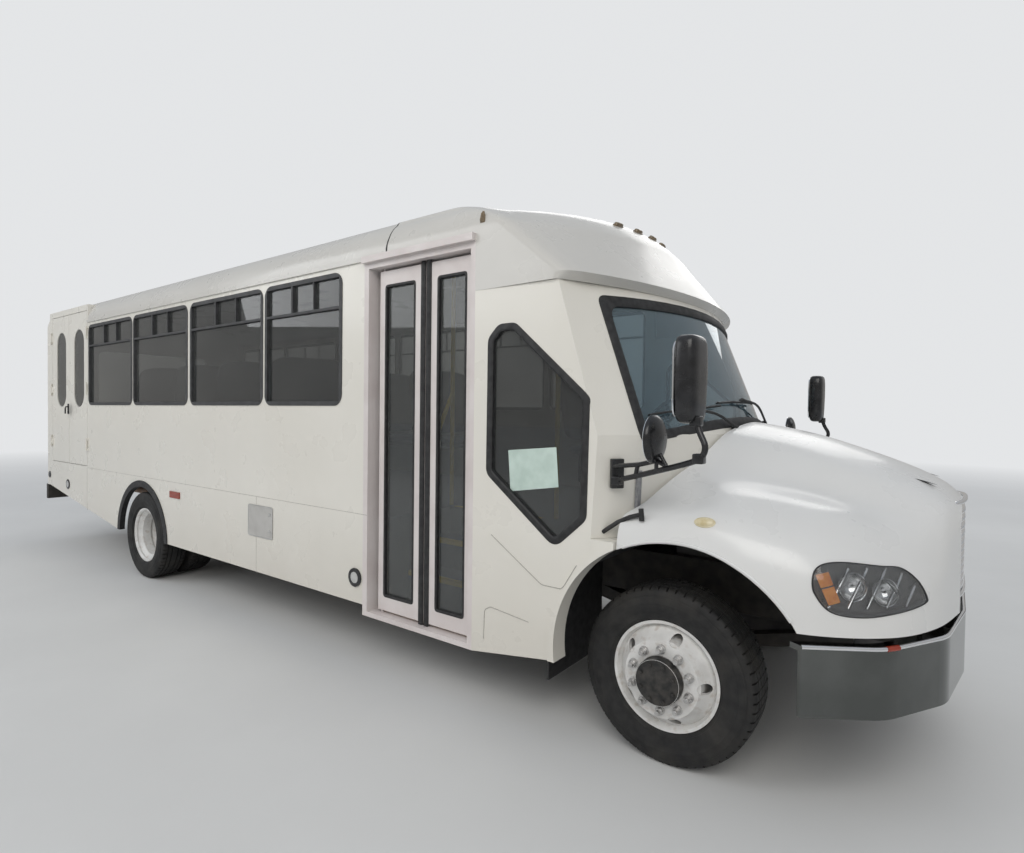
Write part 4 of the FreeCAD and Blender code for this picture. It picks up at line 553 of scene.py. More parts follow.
def cowl_face(y, z):
    low, high = (COWL[0], COWL[1]) if z < COWL[1][0] else (COWL[1], COWL[2])
    share = (z - low[0]) / (high[0] - low[0])
    return bowed(y, *(a + (b - a) * share for a, b in zip(low[1:], high[1:])))


def on_cowl(y, z, out):
    """A point that stands out from the cowl's face along its normal."""
    step = 0.01
    here = Vector((cowl_face(y, z), y, z))
    across = Vector((cowl_face(y + step, z), y + step, z)) - here
    up = Vector((cowl_face(y, z + step), y, z + step)) - here
    normal = across.cross(up).normalized()
    if normal.x < 0:
        normal = -normal
    return Vector((FRONT, 0, 0)) + here + normal * out


def screen_outline(grow, corner):
    """The windscreen's outline (across, up), with bowed lower and upper edges."""
    low_half, top_half = 1.03 + grow, 1.0 + grow
    low, high = 1.525 - grow, 2.235 + grow
    shares = [step / 6 - 1 for step in range(13)]
    points = [(low_half * share, low + 0.085 * (1 - share ** 2)) for share in shares]
    points += [(-top_half * share, high + 0.03 * (1 - share ** 2)) for share in shares]
    radii = [corner if index in (0, 12, 13, 25) else 0 for index in range(26)]
    return rounded(points, radii, 8)


def seal(outer, inner, place, proud=0.007, sunk=0.012):
    """A rubber section between two outlines of equal count."""
    middle = [a.lerp(b, 0.25) for a, b in zip(outer, inner)]
    within = [a.lerp(b, 0.8) for a, b in zip(outer, inner)]
    rings = [[place(point.x, point.y, depth) for point in line] for line, depth in (
        (outer, -sunk), (outer, 0.3 * proud), (middle, proud), (within, proud), (inner, 0.2 * proud),
        (inner, -sunk),
    )]
    return joined(strip(rings + rings[:1]))


screen_seal = seal(screen_outline(0.018, 0.055), screen_outline(-0.034, 0.11), on_cowl)
shown("windscreen_seal", screen_seal, RUBBER)

# Seals of the seven-sided cab windows
CAB_WINDOW = [
    (-0.925, 2.04), (-0.86, 2.105), (-0.76, 2.105), (-0.325, 1.725), (-0.334, 1.15), (-0.5, 1.0),
    (-0.928, 1.33),
]
window_line = rounded(CAB_WINDOW, 0.06, 6)
window_outer = offset_outline(window_line, 0.012)
window_inner = offset_outline(window_line, -0.026)
for side, sign in SIDES:
    def on_side(x, z, out):
        return Vector((ahead(x), sign * (SIDE + out), z))

    shown("cab_window_seal_" + side, seal(window_outer, window_inner, on_side, 0.006, 0.03), RUBBER)

# Blank paper sheet on the right cab window's pane
pane_hit, _ = struck(node_tree("side_glass"), (ahead(-0.66), -2, 1.36), (0, 1, 0))
PAPER = plain("paper_green", (0.5, 0.62, 0.56), (0.6, 0.72, 0.66), 14.0, (0.7, 0.85), 0.0, 90.0, 0.0006, 0.3)
paper_y = pane_hit.y - 0.0022
sheet_rows = []
for drop in (row / 6 for row in range(7)):
    left_end = Vector((ahead(-0.804 + 0.016 * drop), paper_y, 1.455 - 0.215 * drop))
    right_end = Vector((ahead(-0.507 + 0.015 * drop), paper_y, 1.483 - 0.197 * drop))
    sheet_rows.append([
        left_end.lerp(right_end, column / 8) + Vector((0, 0.001 * sin(column * 0.7 + drop * 2), 0))
        for column in range(9)
    ])
shown("paper_sheet", paired(sheet_rows, (0, 0.0006, 0)), PAPER)

# Rubbers where the entry leaves meet
for leaf, back, fore in (("rear", -1.493, -1.453), ("front", -1.447, -1.407)):
    low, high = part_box("entry_leaf_" + leaf)
    middle, half = ahead((back + fore) / 2), (fore - back) / 2
    outline = [(middle - cos(a) * half, low.y - 0.012 * sin(a)) for a in (pi * step / 8 for step in range(9))]
    rubber = prism(outline, "Z", low.z + 0.004, high.z - 0.004, 12)
    shown("door_rubber_" + leaf, rubber, RUBBER, body="entry_door_" + leaf)

# Thin black rubbers round the entry leaves' panes
for leaf in ("rear", "front"):
    low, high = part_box("entry_glass_" + leaf)
    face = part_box("entry_leaf_" + leaf)[0].y
    line = rounded(rectangle(low.x, low.z, high.x, high.z), 0.02, 5)

    def on_leaf(x, z, out):
        return Vector((x, face - out, z))

    rubber = seal(offset_outline(line, 0.004), offset_outline(line, -0.012), on_leaf, 0.003, 0.02)
    shown("entry_pane_seal_" + leaf, rubber, RUBBER, body="entry_door_" + leaf)

# Yellow nosings on the entry steps, whose edges are (y, z); the section is (inward, up) from an edge
EDGES = [(-1.12, 0.385), (-0.895, 0.577), (-0.67, 0.769), (-0.445, 0.96)]
NOSING = [
    (-0.003, -0.028), (0, -0.028), (0, 0), (0.032, 0), (0.032, 0.003), (-0.001, 0.003), (-0.003, 0.001),
]
stair_low, stair_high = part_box("entry_steps")
noses = [
    prism([(y + inward, z + up) for inward, up in NOSING], "X", stair_low.x + 0.02, stair_high.x - 0.02)
    for y, z in EDGES
]
shown("step_nosings", noses, YELLOW, 0)


# Wheels: hub caps with their bolts, and nuts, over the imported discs
def lathe(profile, centre, sign, sides=48):
    """A turned form about Y: profile rows are (radius, distance outward)."""
    return capped([
        [(centre.x + reach * cos(a), centre.y + sign * out, centre.z + reach * sin(a)) for a in turns(sides)]
        for reach, out in profile
    ])


HUB_BLACK = plain("hub_black", (0.012, 0.012, 0.012), (0.05, 0.045, 0.04), 30.0, (0.35, 0.6))
NUT_STEEL = plain("nut_steel", (0.45, 0.44, 0.43), (0.62, 0.61, 0.6), 60.0, (0.25, 0.4), 0.85)
BOLT = [(0.0095, 0.001), (0.0095, 0.009), (0.007, 0.011), (0.0005, 0.011)]
NUT = [
    (0.0225, 0.0005), (0.0225, 0.005), (0.018, 0.006), (0.018, 0.021), (0.0155, 0.024), (0.0115, 0.0245),
    (0.0115, 0.045), (0.01, 0.047), (0.0005, 0.047),
]
BOLT_CIRCLE, NUT_CIRCLE = 0.084, 0.142875
for name, body, node, x, lines in WHEELS:
    sign = -1 if "right" in name else 1
    face, nose, shoulder = (0.952, 1.028, (0.066, 0.01)) if "rear" in name else (1.073, 1.121, (0.062, 0.004))
    centre = Vector((x, 0, HUB))

    def around(count, radius, profile, base, sides):
        """Turned forms in a circle round the hub."""
        forms = []
        for angle in (tau * (step + 0.5) / count for step in range(count)):
            spot = centre + Vector((radius * cos(angle), 0, radius * sin(angle)))
            forms.append(lathe([(r, base + out) for r, out in profile], spot, sign, sides))
        return forms

    cap = [(0.1075, face + 0.001)] + [(r, nose + out) for r, out in (
        (0.1075, -0.004), (0.101, 0.003), (0.07, 0.0035), shoulder, (0.045, 0.012), (0.02, 0.014),
        (0.001, 0.014),
    )]
    hub = [lathe(cap, centre, sign)] + around(8, BOLT_CIRCLE, BOLT, nose, 6)
    shown("hub_cap_" + name, hub, HUB_BLACK, body=body)
    shown("wheel_nuts_" + name, around(10, NUT_CIRCLE, NUT, face, 12), NUT_STEEL, body=body)

# Mirrors: bent arms, rounded heads and convex bowls
MIRROR_GLASS = plain(
    "mirror_glass", (0.74, 0.76, 0.78), (0.78, 0.8, 0.82), 3.0, (0.02, 0.05), 1.0, 40.0, 0.0001, 0.02,
)
MAIN_ARM = [
    (-0.21, 1.168, 1.335), (0.06, 1.29, 1.41), (0.235, 1.374, 1.462), (0.285, 1.398, 1.49),
    (0.296, 1.402, 1.53), (0.27, 1.392, 1.585), (0.245, 1.385, 1.66),
]
STRUTS = [
    ([(-0.21, 1.168, 1.405), (-0.05, 1.235, 1.427), (0.05, 1.285, 1.452), (0.1, 1.305, 1.437)], 0.011, 12),
    ([(-0.075, 1.225, 1.362), (-0.06, 1.23, 1.43)], 0.01, 10),
    ([(0.05, 1.285, 1.405), (0.052, 1.292, 1.5), (0.052, 1.296, 1.545)], 0.009, 10),
    ([(0.11, 1.31, 1.425), (0.06, 1.295, 1.5)], 0.008, 10),
]
CLAMPS = ((-0.19, 1.178, 1.34), (0.27, 1.39, 1.478), (0.255, 1.386, 1.625))
FOOT_AT, FOOT_TURN = (-0.203, 1.149, 1.37), atan2(0.61, 0.79)
HEAD_X, HEAD_Y, HEAD_LOW = 0.2205, 1.36, 1.615
PANE_X, PANE_MIDDLE = 0.1755, 1.792
BOWL_X, BOWL_Y, BOWL_Z, BOWL_OVAL = 0.036, 1.296, 1.545, 0.985
# Rows of (height, share) for the head, and of (radius, distance ahead) for the bowl and the dish in it
MIRROR_HEAD = (
    (0.0, 0.35), (0.004, 0.62), (0.014, 0.8), (0.034, 0.9), (0.1, 0.955), (0.2, 1.0), (0.29, 0.985),
    (0.32, 0.94), (0.338, 0.86), (0.347, 0.68), (0.35, 0.35),
)
BOWL = (
    (0.1035, 0.0), (0.104, 0.01), (0.1, 0.018), (0.086, 0.03), (0.062, 0.04), (0.032, 0.046), (0.004, 0.048),
)
DISH = (
    (0.1035, 0.0005), (0.1035, -0.003), (0.098, -0.004), (0.096, -0.001), (0.07, -0.01), (0.035, -0.0155),
    (0.003, -0.017),
)


def superellipse(width, depth, power, sides=40):
    return [(
        width / 2 * copysign(abs(cos(a)) ** (2 / power), cos(a)),
        depth / 2 * copysign(abs(sin(a)) ** (2 / power), sin(a)),
    ) for a in turns(sides)]


pane_line = superellipse(0.158, 0.3, 6.0, 48)
for side, sign in SIDES:
    def spot(x, y, z):
        return Vector((ahead(x), sign * y, z))

    def bowl(rows):
        return capped([
            [spot(BOWL_X + out, BOWL_Y + r * BOWL_OVAL * cos(a), BOWL_Z + r * sin(a)) for a in turns(48)]
            for r, out in rows
        ])

    arms = [tube(curve_through([spot(*point) for point in MAIN_ARM], 8), 0.0125, 14)]
    arms += [tube([spot(*point) for point in strut], radius, sides) for strut, radius, sides in STRUTS]
    for x, y, z in CLAMPS:
        low, high = spot(x - 0.022, y - 0.022, z - 0.02), spot(x + 0.022, y + 0.022, z + 0.02)
        arms.append(solid_block(low, high, 0.006))
    foot = solid_block((-0.013, -0.032, -0.07), (0.013, 0.032, 0.07), 0.005)
    stand = Matrix.Translation(spot(*FOOT_AT)) @ Matrix.Rotation(FOOT_TURN * sign, 4, "Z")
    bmesh.ops.transform(foot, matrix=stand, verts=foot.verts)
    piece = shown("mirror_arms_" + side, [*arms, foot], GLOSS, 40.0)
    head = [
        [spot(HEAD_X + u, HEAD_Y + v, HEAD_LOW + z) for u, v in superellipse(0.098 * size, 0.187 * size, 3.6)]
        for z, size in MIRROR_HEAD
    ]
    shown("mirror_head_" + side, capped(head), GLOSS, 50.0)
    pane = [
        [spot(PANE_X - out, HEAD_Y + v * size, PANE_MIDDLE + w * size) for v, w in pane_line]
        for out, size in ((-0.004, 1.0), (0.002, 1.0), (0.0035, 0.985))
    ]
    shown("mirror_pane_" + side, capped(pane), MIRROR_GLASS)
    shown("mirror_bowl_" + side, bowl(BOWL), GLOSS, 60.0)
    shown("mirror_dish_" + side, bowl(DISH), MIRROR_GLASS, 60.0)
    if side == "left":
        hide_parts("mirrors")

# Hood: rows of distance ahead of the front hub, height at the centre, four points (across, up) down
# the side, and half width at the foot
HOOD = [
    (-0.18, 1.645, 0.42, 1.61, 0.74, 1.45, 1.01, 1.235, 1.19, 1.12, 1.225),
    (0.17, 1.608, 0.405, 1.545, 0.68, 1.375, 0.965, 1.275, 1.15, 1.165, 1.218),
    (0.45, 1.553, 0.4, 1.49, 0.64, 1.325, 0.915, 1.26, 1.13, 1.11, 1.2),
    (0.7, 1.475, 0.395, 1.415, 0.605, 1.27, 0.85, 1.205, 1.05, 1.04, 1.13),
    (0.91, 1.395, 0.37, 1.345, 0.575, 1.22, 0.75, 1.1, 0.89, 0.97, 0.97),
    (1.035, 1.33, 0.35, 1.285, 0.5, 1.19, 0.6, 1.05, 0.68, 0.96, 0.735),
    (1.105, 1.265, 0.25, 1.245, 0.36, 1.17, 0.41, 1.04, 0.43, 0.95, 0.445),
]
HOOD_FOOT = 0.8
HOOD_WALL = 0.02
HOOD_SHARP = 28  # degrees between faces that look sharp
ARCH = (ahead(0.09), 0.5, 0.585)  # place along X, height and radius of the opening over the wheel
REAR_HALF, REAR_GAP = 1.05, 0.014  # half width of the hood's rear edge, and its gap to the cowl


def hood_rear(y):
    """The hood's rear edge ahead of the hub, a gap clear of the bowed cowl."""
    if abs(y) <= REAR_HALF:
        return cowl_face(y, COWL[1][0]) + REAR_GAP
    return max(-0.17, -0.126 - 0.044 * (abs(y) - REAR_HALF) / 0.08)


def hood_skin():
    """Columns of points that run from the hood's rear edge to its nose."""
    rows = []
    for x, centre, *creases, lip_y in HOOD:
        half = list(zip(creases[::2], creases[1::2])) + [(lip_y, HOOD_FOOT)]
        section = [(-y, z) for y, z in reversed(half)] + [(0, centre)] + half
        rows.append(spline([Vector((x, y, z)) for y, z in section], 9))
    columns = []
    for line in (spline(points, 16) for points in zip(*rows)):
        last = len(line) - 1
        edge = next((i for i in range(last) if line[i + 1].x > hood_rear(line[i + 1].y)), 0)
        first, second = line[edge], line[edge + 1]
        share = min(max((hood_rear(first.y) - first.x) / (second.x - first.x), 0.0), 1.0)
        column = [first.lerp(second, share)]
        for step in range(1, 81):
            place = edge + share + (last - edge - share) * step / 80
            low = min(int(place), last - 1)
            column.append(line[low].lerp(line[low + 1], place - low))
        columns.append([Vector((ahead(point.x), point.y, max(point.z, HOOD_FOOT))) for point in column])
    return columns


hood_columns = hood_skin()
hood_bm, skin_tree = topped(hood_columns, [column[-1] for column in hood_columns])
hood = shown("hood_moulding", hood_bm, HOOD_WHITE, HOOD_SHARP, "hood_body")
thickened(hood, HOOD_WALL)


def hood_side(x, z, sign, out=0.0):
    """The point on the hood's skin seen from one side at (x, z)."""
    hit, normal = struck(skin_tree, (x, sign * 2, z), (0, -sign, 0))
    if hit is None:
        hit, normal, _, _ = skin_tree.find_nearest(Vector((x, sign * 0.9, z)))
        normal = -normal if normal.y * sign < 0 else normal
    return hit + normal * out


# Headlamps: outline as seen from the side, rear end first; rows of (share of the outline, distance outward)
LAMP = [
    (0.632, 1.0), (0.64, 1.045), (0.675, 1.066), (0.741, 1.068), (0.843, 1.052), (0.907, 1.04),
    (0.962, 0.992), (0.992, 0.932), (0.985, 0.906), (0.91, 0.886), (0.799, 0.873), (0.7, 0.89), (0.645, 0.95),
]
LENS_ROWS = (
    (1.0, -0.01), (1.0, -0.001), (0.985, 0.0035), (0.93, 0.005), (0.75, 0.006), (0.5, 0.006), (0.25, 0.006),
    (0.02, 0.006),
)
RIM_ROWS = (
    (1.012, -0.004), (1.016, 0.0025), (1.004, 0.0045), (0.988, 0.0045), (0.975, 0.001), (0.975, -0.02),
)
# Rows of (share, depth inward) for the housing, and of (radius, distance outward) for a reflector
HOUSING_ROWS = ((1.0, 0.012), (0.97, 0.03), (0.92, 0.055), (0.75, 0.075), (0.4, 0.08), (0.02, 0.08))
REFLECTOR_ROWS = (
    (1.12, 0.004), (1.0, 0.0), (0.94, -0.012), (0.8, -0.03), (0.55, -0.043), (0.25, -0.048), (0.22, -0.03),
    (0.2, -0.018), (0.02, -0.016),
)
FENDER_ROWS = (
    (1.12, -0.004), (1.12, 0.003), (1.0, 0.004), (0.97, 0.008), (0.75, 0.013), (0.4, 0.016), (0.05, 0.017),
)
lamp_line = [Vector((ahead(point.x), point.y)) for point in closed_curve(LAMP)]
nose_opening = rounded(rectangle(-0.38, 0.87, 0.38, 1.195), 0.07, 8)
cutters = []
for sign in (-1, 1):
    cutters.append(prism(circle(*ARCH), "Y", sign * 0.56, sign * 1.4))
    cutters.append(prism(lamp_line, "Y", sign * 0.6, sign * 1.4))
cut_away(hood, cutters + [prism(nose_opening, "X", ahead(1.0), ahead(1.2))], HOOD_SHARP)
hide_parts("hood")

LAMP_CHROME = plain(
    "lamp_reflector", (0.42, 0.43, 0.44), (0.62, 0.63, 0.64), 18.0, (0.08, 0.2), 0.9, 70.0, 0.0006, 0.2,
)
LAMP_DARK = plain("lamp_housing", (0.03, 0.032, 0.034), (0.07, 0.072, 0.075), 22.0, (0.25, 0.4))
lamp_middle = sum(lamp_line, Vector((0, 0))) / len(lamp_line)
for side, sign in SIDES:
    def ring(share, out):
        return [hood_side(*(lamp_middle + (point - lamp_middle) * share), sign, out) for point in lamp_line]

    def deep(share, depth):
        return [point + Vector((-0.25, -sign, 0)).normalized() * depth for point in ring(share, 0)]

    lens = capped([ring(*row) for row in LENS_ROWS])
    piece = shown("headlamp_lens_" + side, lens, LENS, 50.0, "hood_body")
    if side == "right":
        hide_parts("headlamps")
    shown("headlamp_rim_" + side, strip([ring(*row) for row in RIM_ROWS]), RUBBER, 50.0, "hood_body")
    housing = strip([deep(*row) for row in HOUSING_ROWS])
    shown("headlamp_housing_" + side, housing, LAMP_DARK, 50.0, "hood_body")
    axis = Vector((0.62, sign * 0.78, 0.0))
    side_way = Vector((0.78, -sign * 0.62, 0.0))
    reflectors = []
    for x, z, size in ((0.765, 0.985, 0.052), (0.868, 0.962, 0.05)):
        centre = hood_side(ahead(x), z, sign, -0.012)
        reflectors.append(strip([
            [centre + (side_way * cos(a) + UP * sin(a)) * size * radius + axis * depth for a in turns(36)]
            for radius, depth in REFLECTOR_ROWS
        ]))
    for index in range(5):
        x = 0.7 + index * 0.06
        path = [
            hood_side(ahead(x + 0.05 * share), 0.905 + 0.145 * share, sign, -0.028)
            for share in (0, 0.25, 0.5, 0.75, 1)
        ]
        reflectors.append(tube(path, 0.007, 8))
    shown("headlamp_reflectors_" + side, reflectors, LAMP_CHROME, 50.0, "hood_body")
    ambers = []
    for low, high in ((0.0, 0.42), (0.48, 1.0)):
        rows = []
        for share in (low + (high - low) * step / 8 for step in range(9)):
            x, z, width = 0.649 + 0.05 * share, 1.022 - 0.108 * share, 0.038 - 0.004 * share
            rows.append([
                hood_side(ahead(x - 0.006 + width * i / 6), z + 0.012 * i / 6, sign, -0.01) for i in range(7)
            ])
        ambers += paired(rows, (0, -sign * 0.012, 0))
    shown("headlamp_amber_" + side, ambers, AMBER, 40.0, "hood_body")
    lip = []
    for angle in (radians(31 + 165 * step / 40) for step in range(41)):
        x, z = ARCH[0] + ARCH[2] * cos(angle), ARCH[1] + ARCH[2] * sin(angle)
        if x >= ahead(-0.165) and z >= HOOD_FOOT + 0.004:
            lip.append(hood_side(x + 0.004 * cos(angle), z + 0.004 * sin(angle), sign, -0.004))
    shown("arch_lip_" + side, tube(lip, 0.0095, 10), HOOD_WHITE, 60.0, "hood_body")
    # Oval side lamp and the rubber latch at the hood's corner
    oval = hood_side(ahead(0.211), 1.185, sign)
    across = (hood_side(ahead(0.231), 1.185, sign) - hood_side(ahead(0.191), 1.185, sign)).normalized()
    rise = (hood_side(ahead(0.211), 1.2, sign) - hood_side(ahead(0.211), 1.17, sign)).normalized()
    out = across.cross(rise)
    out = -out if out.y * sign < 0 else out
    rows = [
        [oval + across * 0.04 * r * cos(a) + rise * 0.022 * r * sin(a) + out * d for a in turns(32)]
        for r, d in FENDER_ROWS
    ]
    pale = plain("lens_pale_" + side, (0.62, 0.52, 0.3), (0.74, 0.66, 0.46), 40.0, (0.15, 0.25))
    shown("fender_lamp_" + side, capped(rows), pale, 40.0, "hood_body")
    latch = hood_side(ahead(-0.125), 1.165, sign, 0.014)
    catch = [tube([latch + Vector(step) for step in path], radius, 10) for path, radius in (
        ([(0.055, 0, 0.018), (0, 0, 0), (-0.06, 0, -0.03), (-0.135, sign * 0.004, -0.085)], 0.0105),
        ([(0.055, 0, 0.045), (0.06, 0, -0.01)], 0.012),
    )]
    shown("hood_latch_" + side, catch, RUBBER, 50.0, "hood_body")

# Seats: crowned cushions with seam grooves on steel legs
SEAT_CLOTH = plain(
    "seat_cloth", (0.045, 0.055, 0.085), (0.085, 0.1, 0.14), 160.0, (0.75, 0.9), 0.0, 900.0, 0.0009, 0.4,
    Sheen_Weight=0.3,
)
DECK = 0.96  # height of the floor under the seats
FIRST_ROW, SEAT_PITCH = 3.15, 0.78
RIGHT_BENCH, LEFT_BENCH = (-1.165, -0.29), (0.29, 1.165)


def cushion(centre, size, tilt=0.0, crown=0.022, steps=12):
    """A pillow form: sides pull in between the corners and the faces swell."""
    bm = bmesh.new()
    bmesh.ops.create_cube(bm, size=2.0)
    bmesh.ops.subdivide_edges(bm, edges=bm.edges, cuts=steps, use_grid_fill=True)
    turn = Matrix.Rotation(tilt, 4, "Y")
    half = Vector(size) / 2
    for vert in bm.verts:
        u, v, w = vert.co
        round_off = (abs(u) ** 6 + abs(v) ** 6 + abs(w) ** 6) ** (1 / 6)
        u, v, w = u / round_off, v / round_off, w / round_off
        swell = (1 - u * u) * (1 - v * v)
        pull = 0.012 * (1 - abs(w)) * (abs(u) + abs(v))
        seam = 0.005 * exp(-((abs(v) - 0.5) / 0.03) ** 2) * (w > 0)
        local = Vector((
            u * (half.x - 0.012) + copysign(pull, u) * (1 - v * v),
            v * (half.y - 0.012) + copysign(pull, v) * (1 - u * u),
            w * (half.z - crown) + copysign(crown * swell, w) - seam,
        ))
        vert.co = Vector(centre) + turn @ local
    return bm


def seat(place, low, high):
    """Cushions and legs of one bench for y between low and high; place is where its back line starts."""
    width, middle = high - low, (high + low) / 2
    base = cushion((place + 0.262, middle, DECK + 0.405), (0.4, width, 0.105), -0.03)
    rest = cushion((place + 0.045, middle, DECK + 0.8), (0.085, width, 0.64), -0.125, 0.012)
    legs = []
    for y in (low + 0.06, high - 0.06):
        for x in (0.2, 0.31):
            legs.append(tube([(place + x, y, DECK + 0.004), (place + x, y, DECK + 0.352)], 0.016, 10))
        legs.append(tube([(place + 0.19, y, DECK + 0.01), (place + 0.32, y, DECK + 0.01)], 0.01, 8))
    legs.append(tube([(place + 0.2, y, DECK + 0.345) for y in (low + 0.05, high - 0.05)], 0.012, 8))
    return [base, rest], legs


cloths, frames = [], []
for row in range(6):
    for low, high in (LEFT_BENCH, RIGHT_BENCH) if row < 4 else (LEFT_BENCH,):
        cloth, legs = seat(ahead(-(FIRST_ROW + SEAT_PITCH * row)), low, high)
        cloths += cloth
        frames += legs
bench = shown("passenger_cushions", cloths, SEAT_CLOTH, 60.0)
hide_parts("passenger_seats")
shown("passenger_seat_legs", frames, STEEL, 50.0)
driver_low, driver_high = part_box("driver_seat")
cloth, legs = seat(driver_low.x + 0.05, driver_low.y, driver_high.y)
driver = shown("driver_cushions", cloth, SEAT_CLOTH, 60.0)
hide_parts("driver_seat")
shown("driver_seat_legs", legs, STEEL, 50.0)

# Hinge eyes under the hood's nose
half_turn = [pi * (-0.5 + step / 12) for step in range(13)]
eye = [(ahead(1.085) + 0.013 * cos(a), 0.78 + 0.013 * sin(a)) for a in half_turn]
eye += [(ahead(1.085), 0.82), (ahead(1.025), 0.82), (ahead(1.025), 0.802), (ahead(1.065), 0.785)]
eyes = [prism(eye, "Y", sign * 0.3303, sign * 0.36) for sign in (-1, 1)]
shown("hood_hinge_eyes", eyes, BLACK, 40.0, "hood_body")

# Grille: a bright surround and slats that bow round the nose
GRILLE_DARK = plain("grille_mesh", (0.015, 0.015, 0.016), (0.04, 0.04, 0.042), 120.0, (0.4, 0.6), 0.2)
SLAT = ((-0.02, 0, 0.012), (-0.002, 0, 0.006), (0, 0, 0), (-0.003, 0, -0.007), (-0.022, 0, -0.004))
ACROSS = [step / 16 - 1 for step in range(33)]


def nose_point(share, z):
    """A point on the bowed grille; share runs -1 to 1 across, z sets the half width."""
    half = 0.445 if z < 1.05 else 0.445 - 0.16 * ((z - 1.05) / 0.22) ** 1.6
    return Vector((ahead(1.122 - 0.052 * abs(share) ** 3.2), half * share, z))


slats = []
for z in (0.872 + index * 0.034 for index in range(11)):
    spots = [nose_point(share * 0.985, z) for share in ACROSS]
    slats.append(capped([[spot + Vector(shift) for shift in SLAT] for spot in spots]))
shown("grille_slats", slats, CHROME, 40.0, "hood_body")
edge = [nose_point(-1, 0.85 + 0.4 * i / 14) for i in range(15)]
edge += [nose_point(-1 + 2 * i / 16, 1.255 + 0.012 * (1 - abs(i / 8 - 1))) for i in range(1, 16)]
edge += [nose_point(1, 1.25 - 0.4 * i / 14) for i in range(15)]
edge += [nose_point(1 - 2 * i / 16, 0.846) for i in range(1, 16)]
surround = tube([point - Vector((0.003, 0, 0)) for point in edge], 0.0105, 10, closed=True)
surround_piece = shown("grille_surround", surround, CHROME, 60.0, "hood_body")
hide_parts("grille")
screen = [
    [nose_point(share * 0.97, z) + Vector((-0.026, 0, 0)) for share in ACROSS]
    for z in (0.862, 0.95, 1.05, 1.15, 1.24)
]
shown("grille_screen", strip(screen, closed=False), GRILLE_DARK, body="hood_body")

# Oval slots in the hood's top behind the nose
for side, sign in SIDES:
    hit, normal = struck(skin_tree, (ahead(0.955), sign * 0.26, 2), (0, 0, -1))
    recess = [
        hit + Vector((0.055 * cos(a), 0.02 * sin(a), -0.3 * 0.055 * cos(a))) + normal * 0.0022
        for a in turns(24)
    ]
    inner = [hit + (point - hit) * 0.6 + normal * 0.001 for point in recess]
    shown("hood_slot_" + side, capped([recess, inner]), TRIM, body="hood_body")

# Front cap: plan outlines at each height, as cap_outline takes them
CAP = [
    (2.309, 0.5, 0.462, 1.165, 0.2, 1.22, 0.016),
    (2.345, 0.46, 0.4, 1.14, 0.16, 1.22, 0.016),
    (2.6, 0.77, 0.69, 1.115, 0.36, 1.22, 0.0),
    (2.7, 0.9, 0.815, 1.08, 0.435, 1.205, 0.0),
    (2.8, 1.1, 1.0, 1.0, 0.55, 1.14, 0.0),
    (2.86, 1.3, 1.2, 0.83, 0.7, 1.0, 0.0),
    (2.92, 1.5, 1.45, 0.16, 1.25, 0.2, 0.0),
]
CAP_LIP = (2.309, 0.53, 0.5, 1.13, 0.24, 1.19, 0.0)
CAP_SHARP = 24
ROOF_JOINT = -1.75  # where the cap ends on the roof, from the front hub
SHELL_BACK = -1.03  # the cab shell's rear edge
DOOR_HEAD = 2.62  # top of the side walls behind the shell


def cap_outline(level, side, corner, corner_half, centre, half, flare, soft=0.16):
    """Side, corner and centre are distances behind the front hub; corner_half, half and flare are widths."""
    across = [corner_half * (i / 12 - 1) for i in range(25)]
    front = [(bowed(y, corner, corner_half, centre), y) for y in across]
    knee = SHELL_BACK if side < -SHELL_BACK else (ROOF_JOINT - side) / 2
    back = [(ROOF_JOINT + (knee - ROOF_JOINT) * i / 5, half) for i in range(6)]
    right = [(x, -y) for x, y in back] + [(-side, -half - flare)]
    run = right + front + [(-side, half + flare)] + back[::-1]
    radii = [soft if index in (6, 7, 31, 32) else 0.0 for index in range(len(run))]
    return [Vector((ahead(point.x), point.y, level)) for point in rounded(run, radii, 6)]


cap_rows = [cap_outline(*row) for row in CAP]
skin_rows = list(zip(*(spline(points, 6) for points in zip(*cap_rows[1:]))))
lip_rows = [
    [point + Vector((0, 0, 0.004)) for point in cap_outline(*CAP_LIP)], cap_rows[0],
    [a.lerp(b, 0.9) for a, b in zip(cap_rows[0], cap_rows[1])],
]
cap_bm, cap_tree = topped(lip_rows + skin_rows, skin_rows[-1])
cap = shown("front_cap_moulding", cap_bm, ROOF_WHITE_SHADED, CAP_SHARP)
thickened(cap, 0.012)
door_side = rectangle(ahead(-1.8), 2.25, ahead(SHELL_BACK), DOOR_HEAD)
cut_away(cap, [prism(door_side, "Y", -1.4, 1.4)], CAP_SHARP)
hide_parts("front_cap")
joint = [row[0] for row in skin_rows if row[0].z >= DOOR_HEAD]
joint += [Vector((point.x, -point.y, point.z)) for point in reversed(joint)]
joint_bm = tube([point + Vector((0.002, 0, -0.0057)) for point in joint], 0.0055, 8)
shown("roof_joint_seal", joint_bm, RUBBER, 60.0)

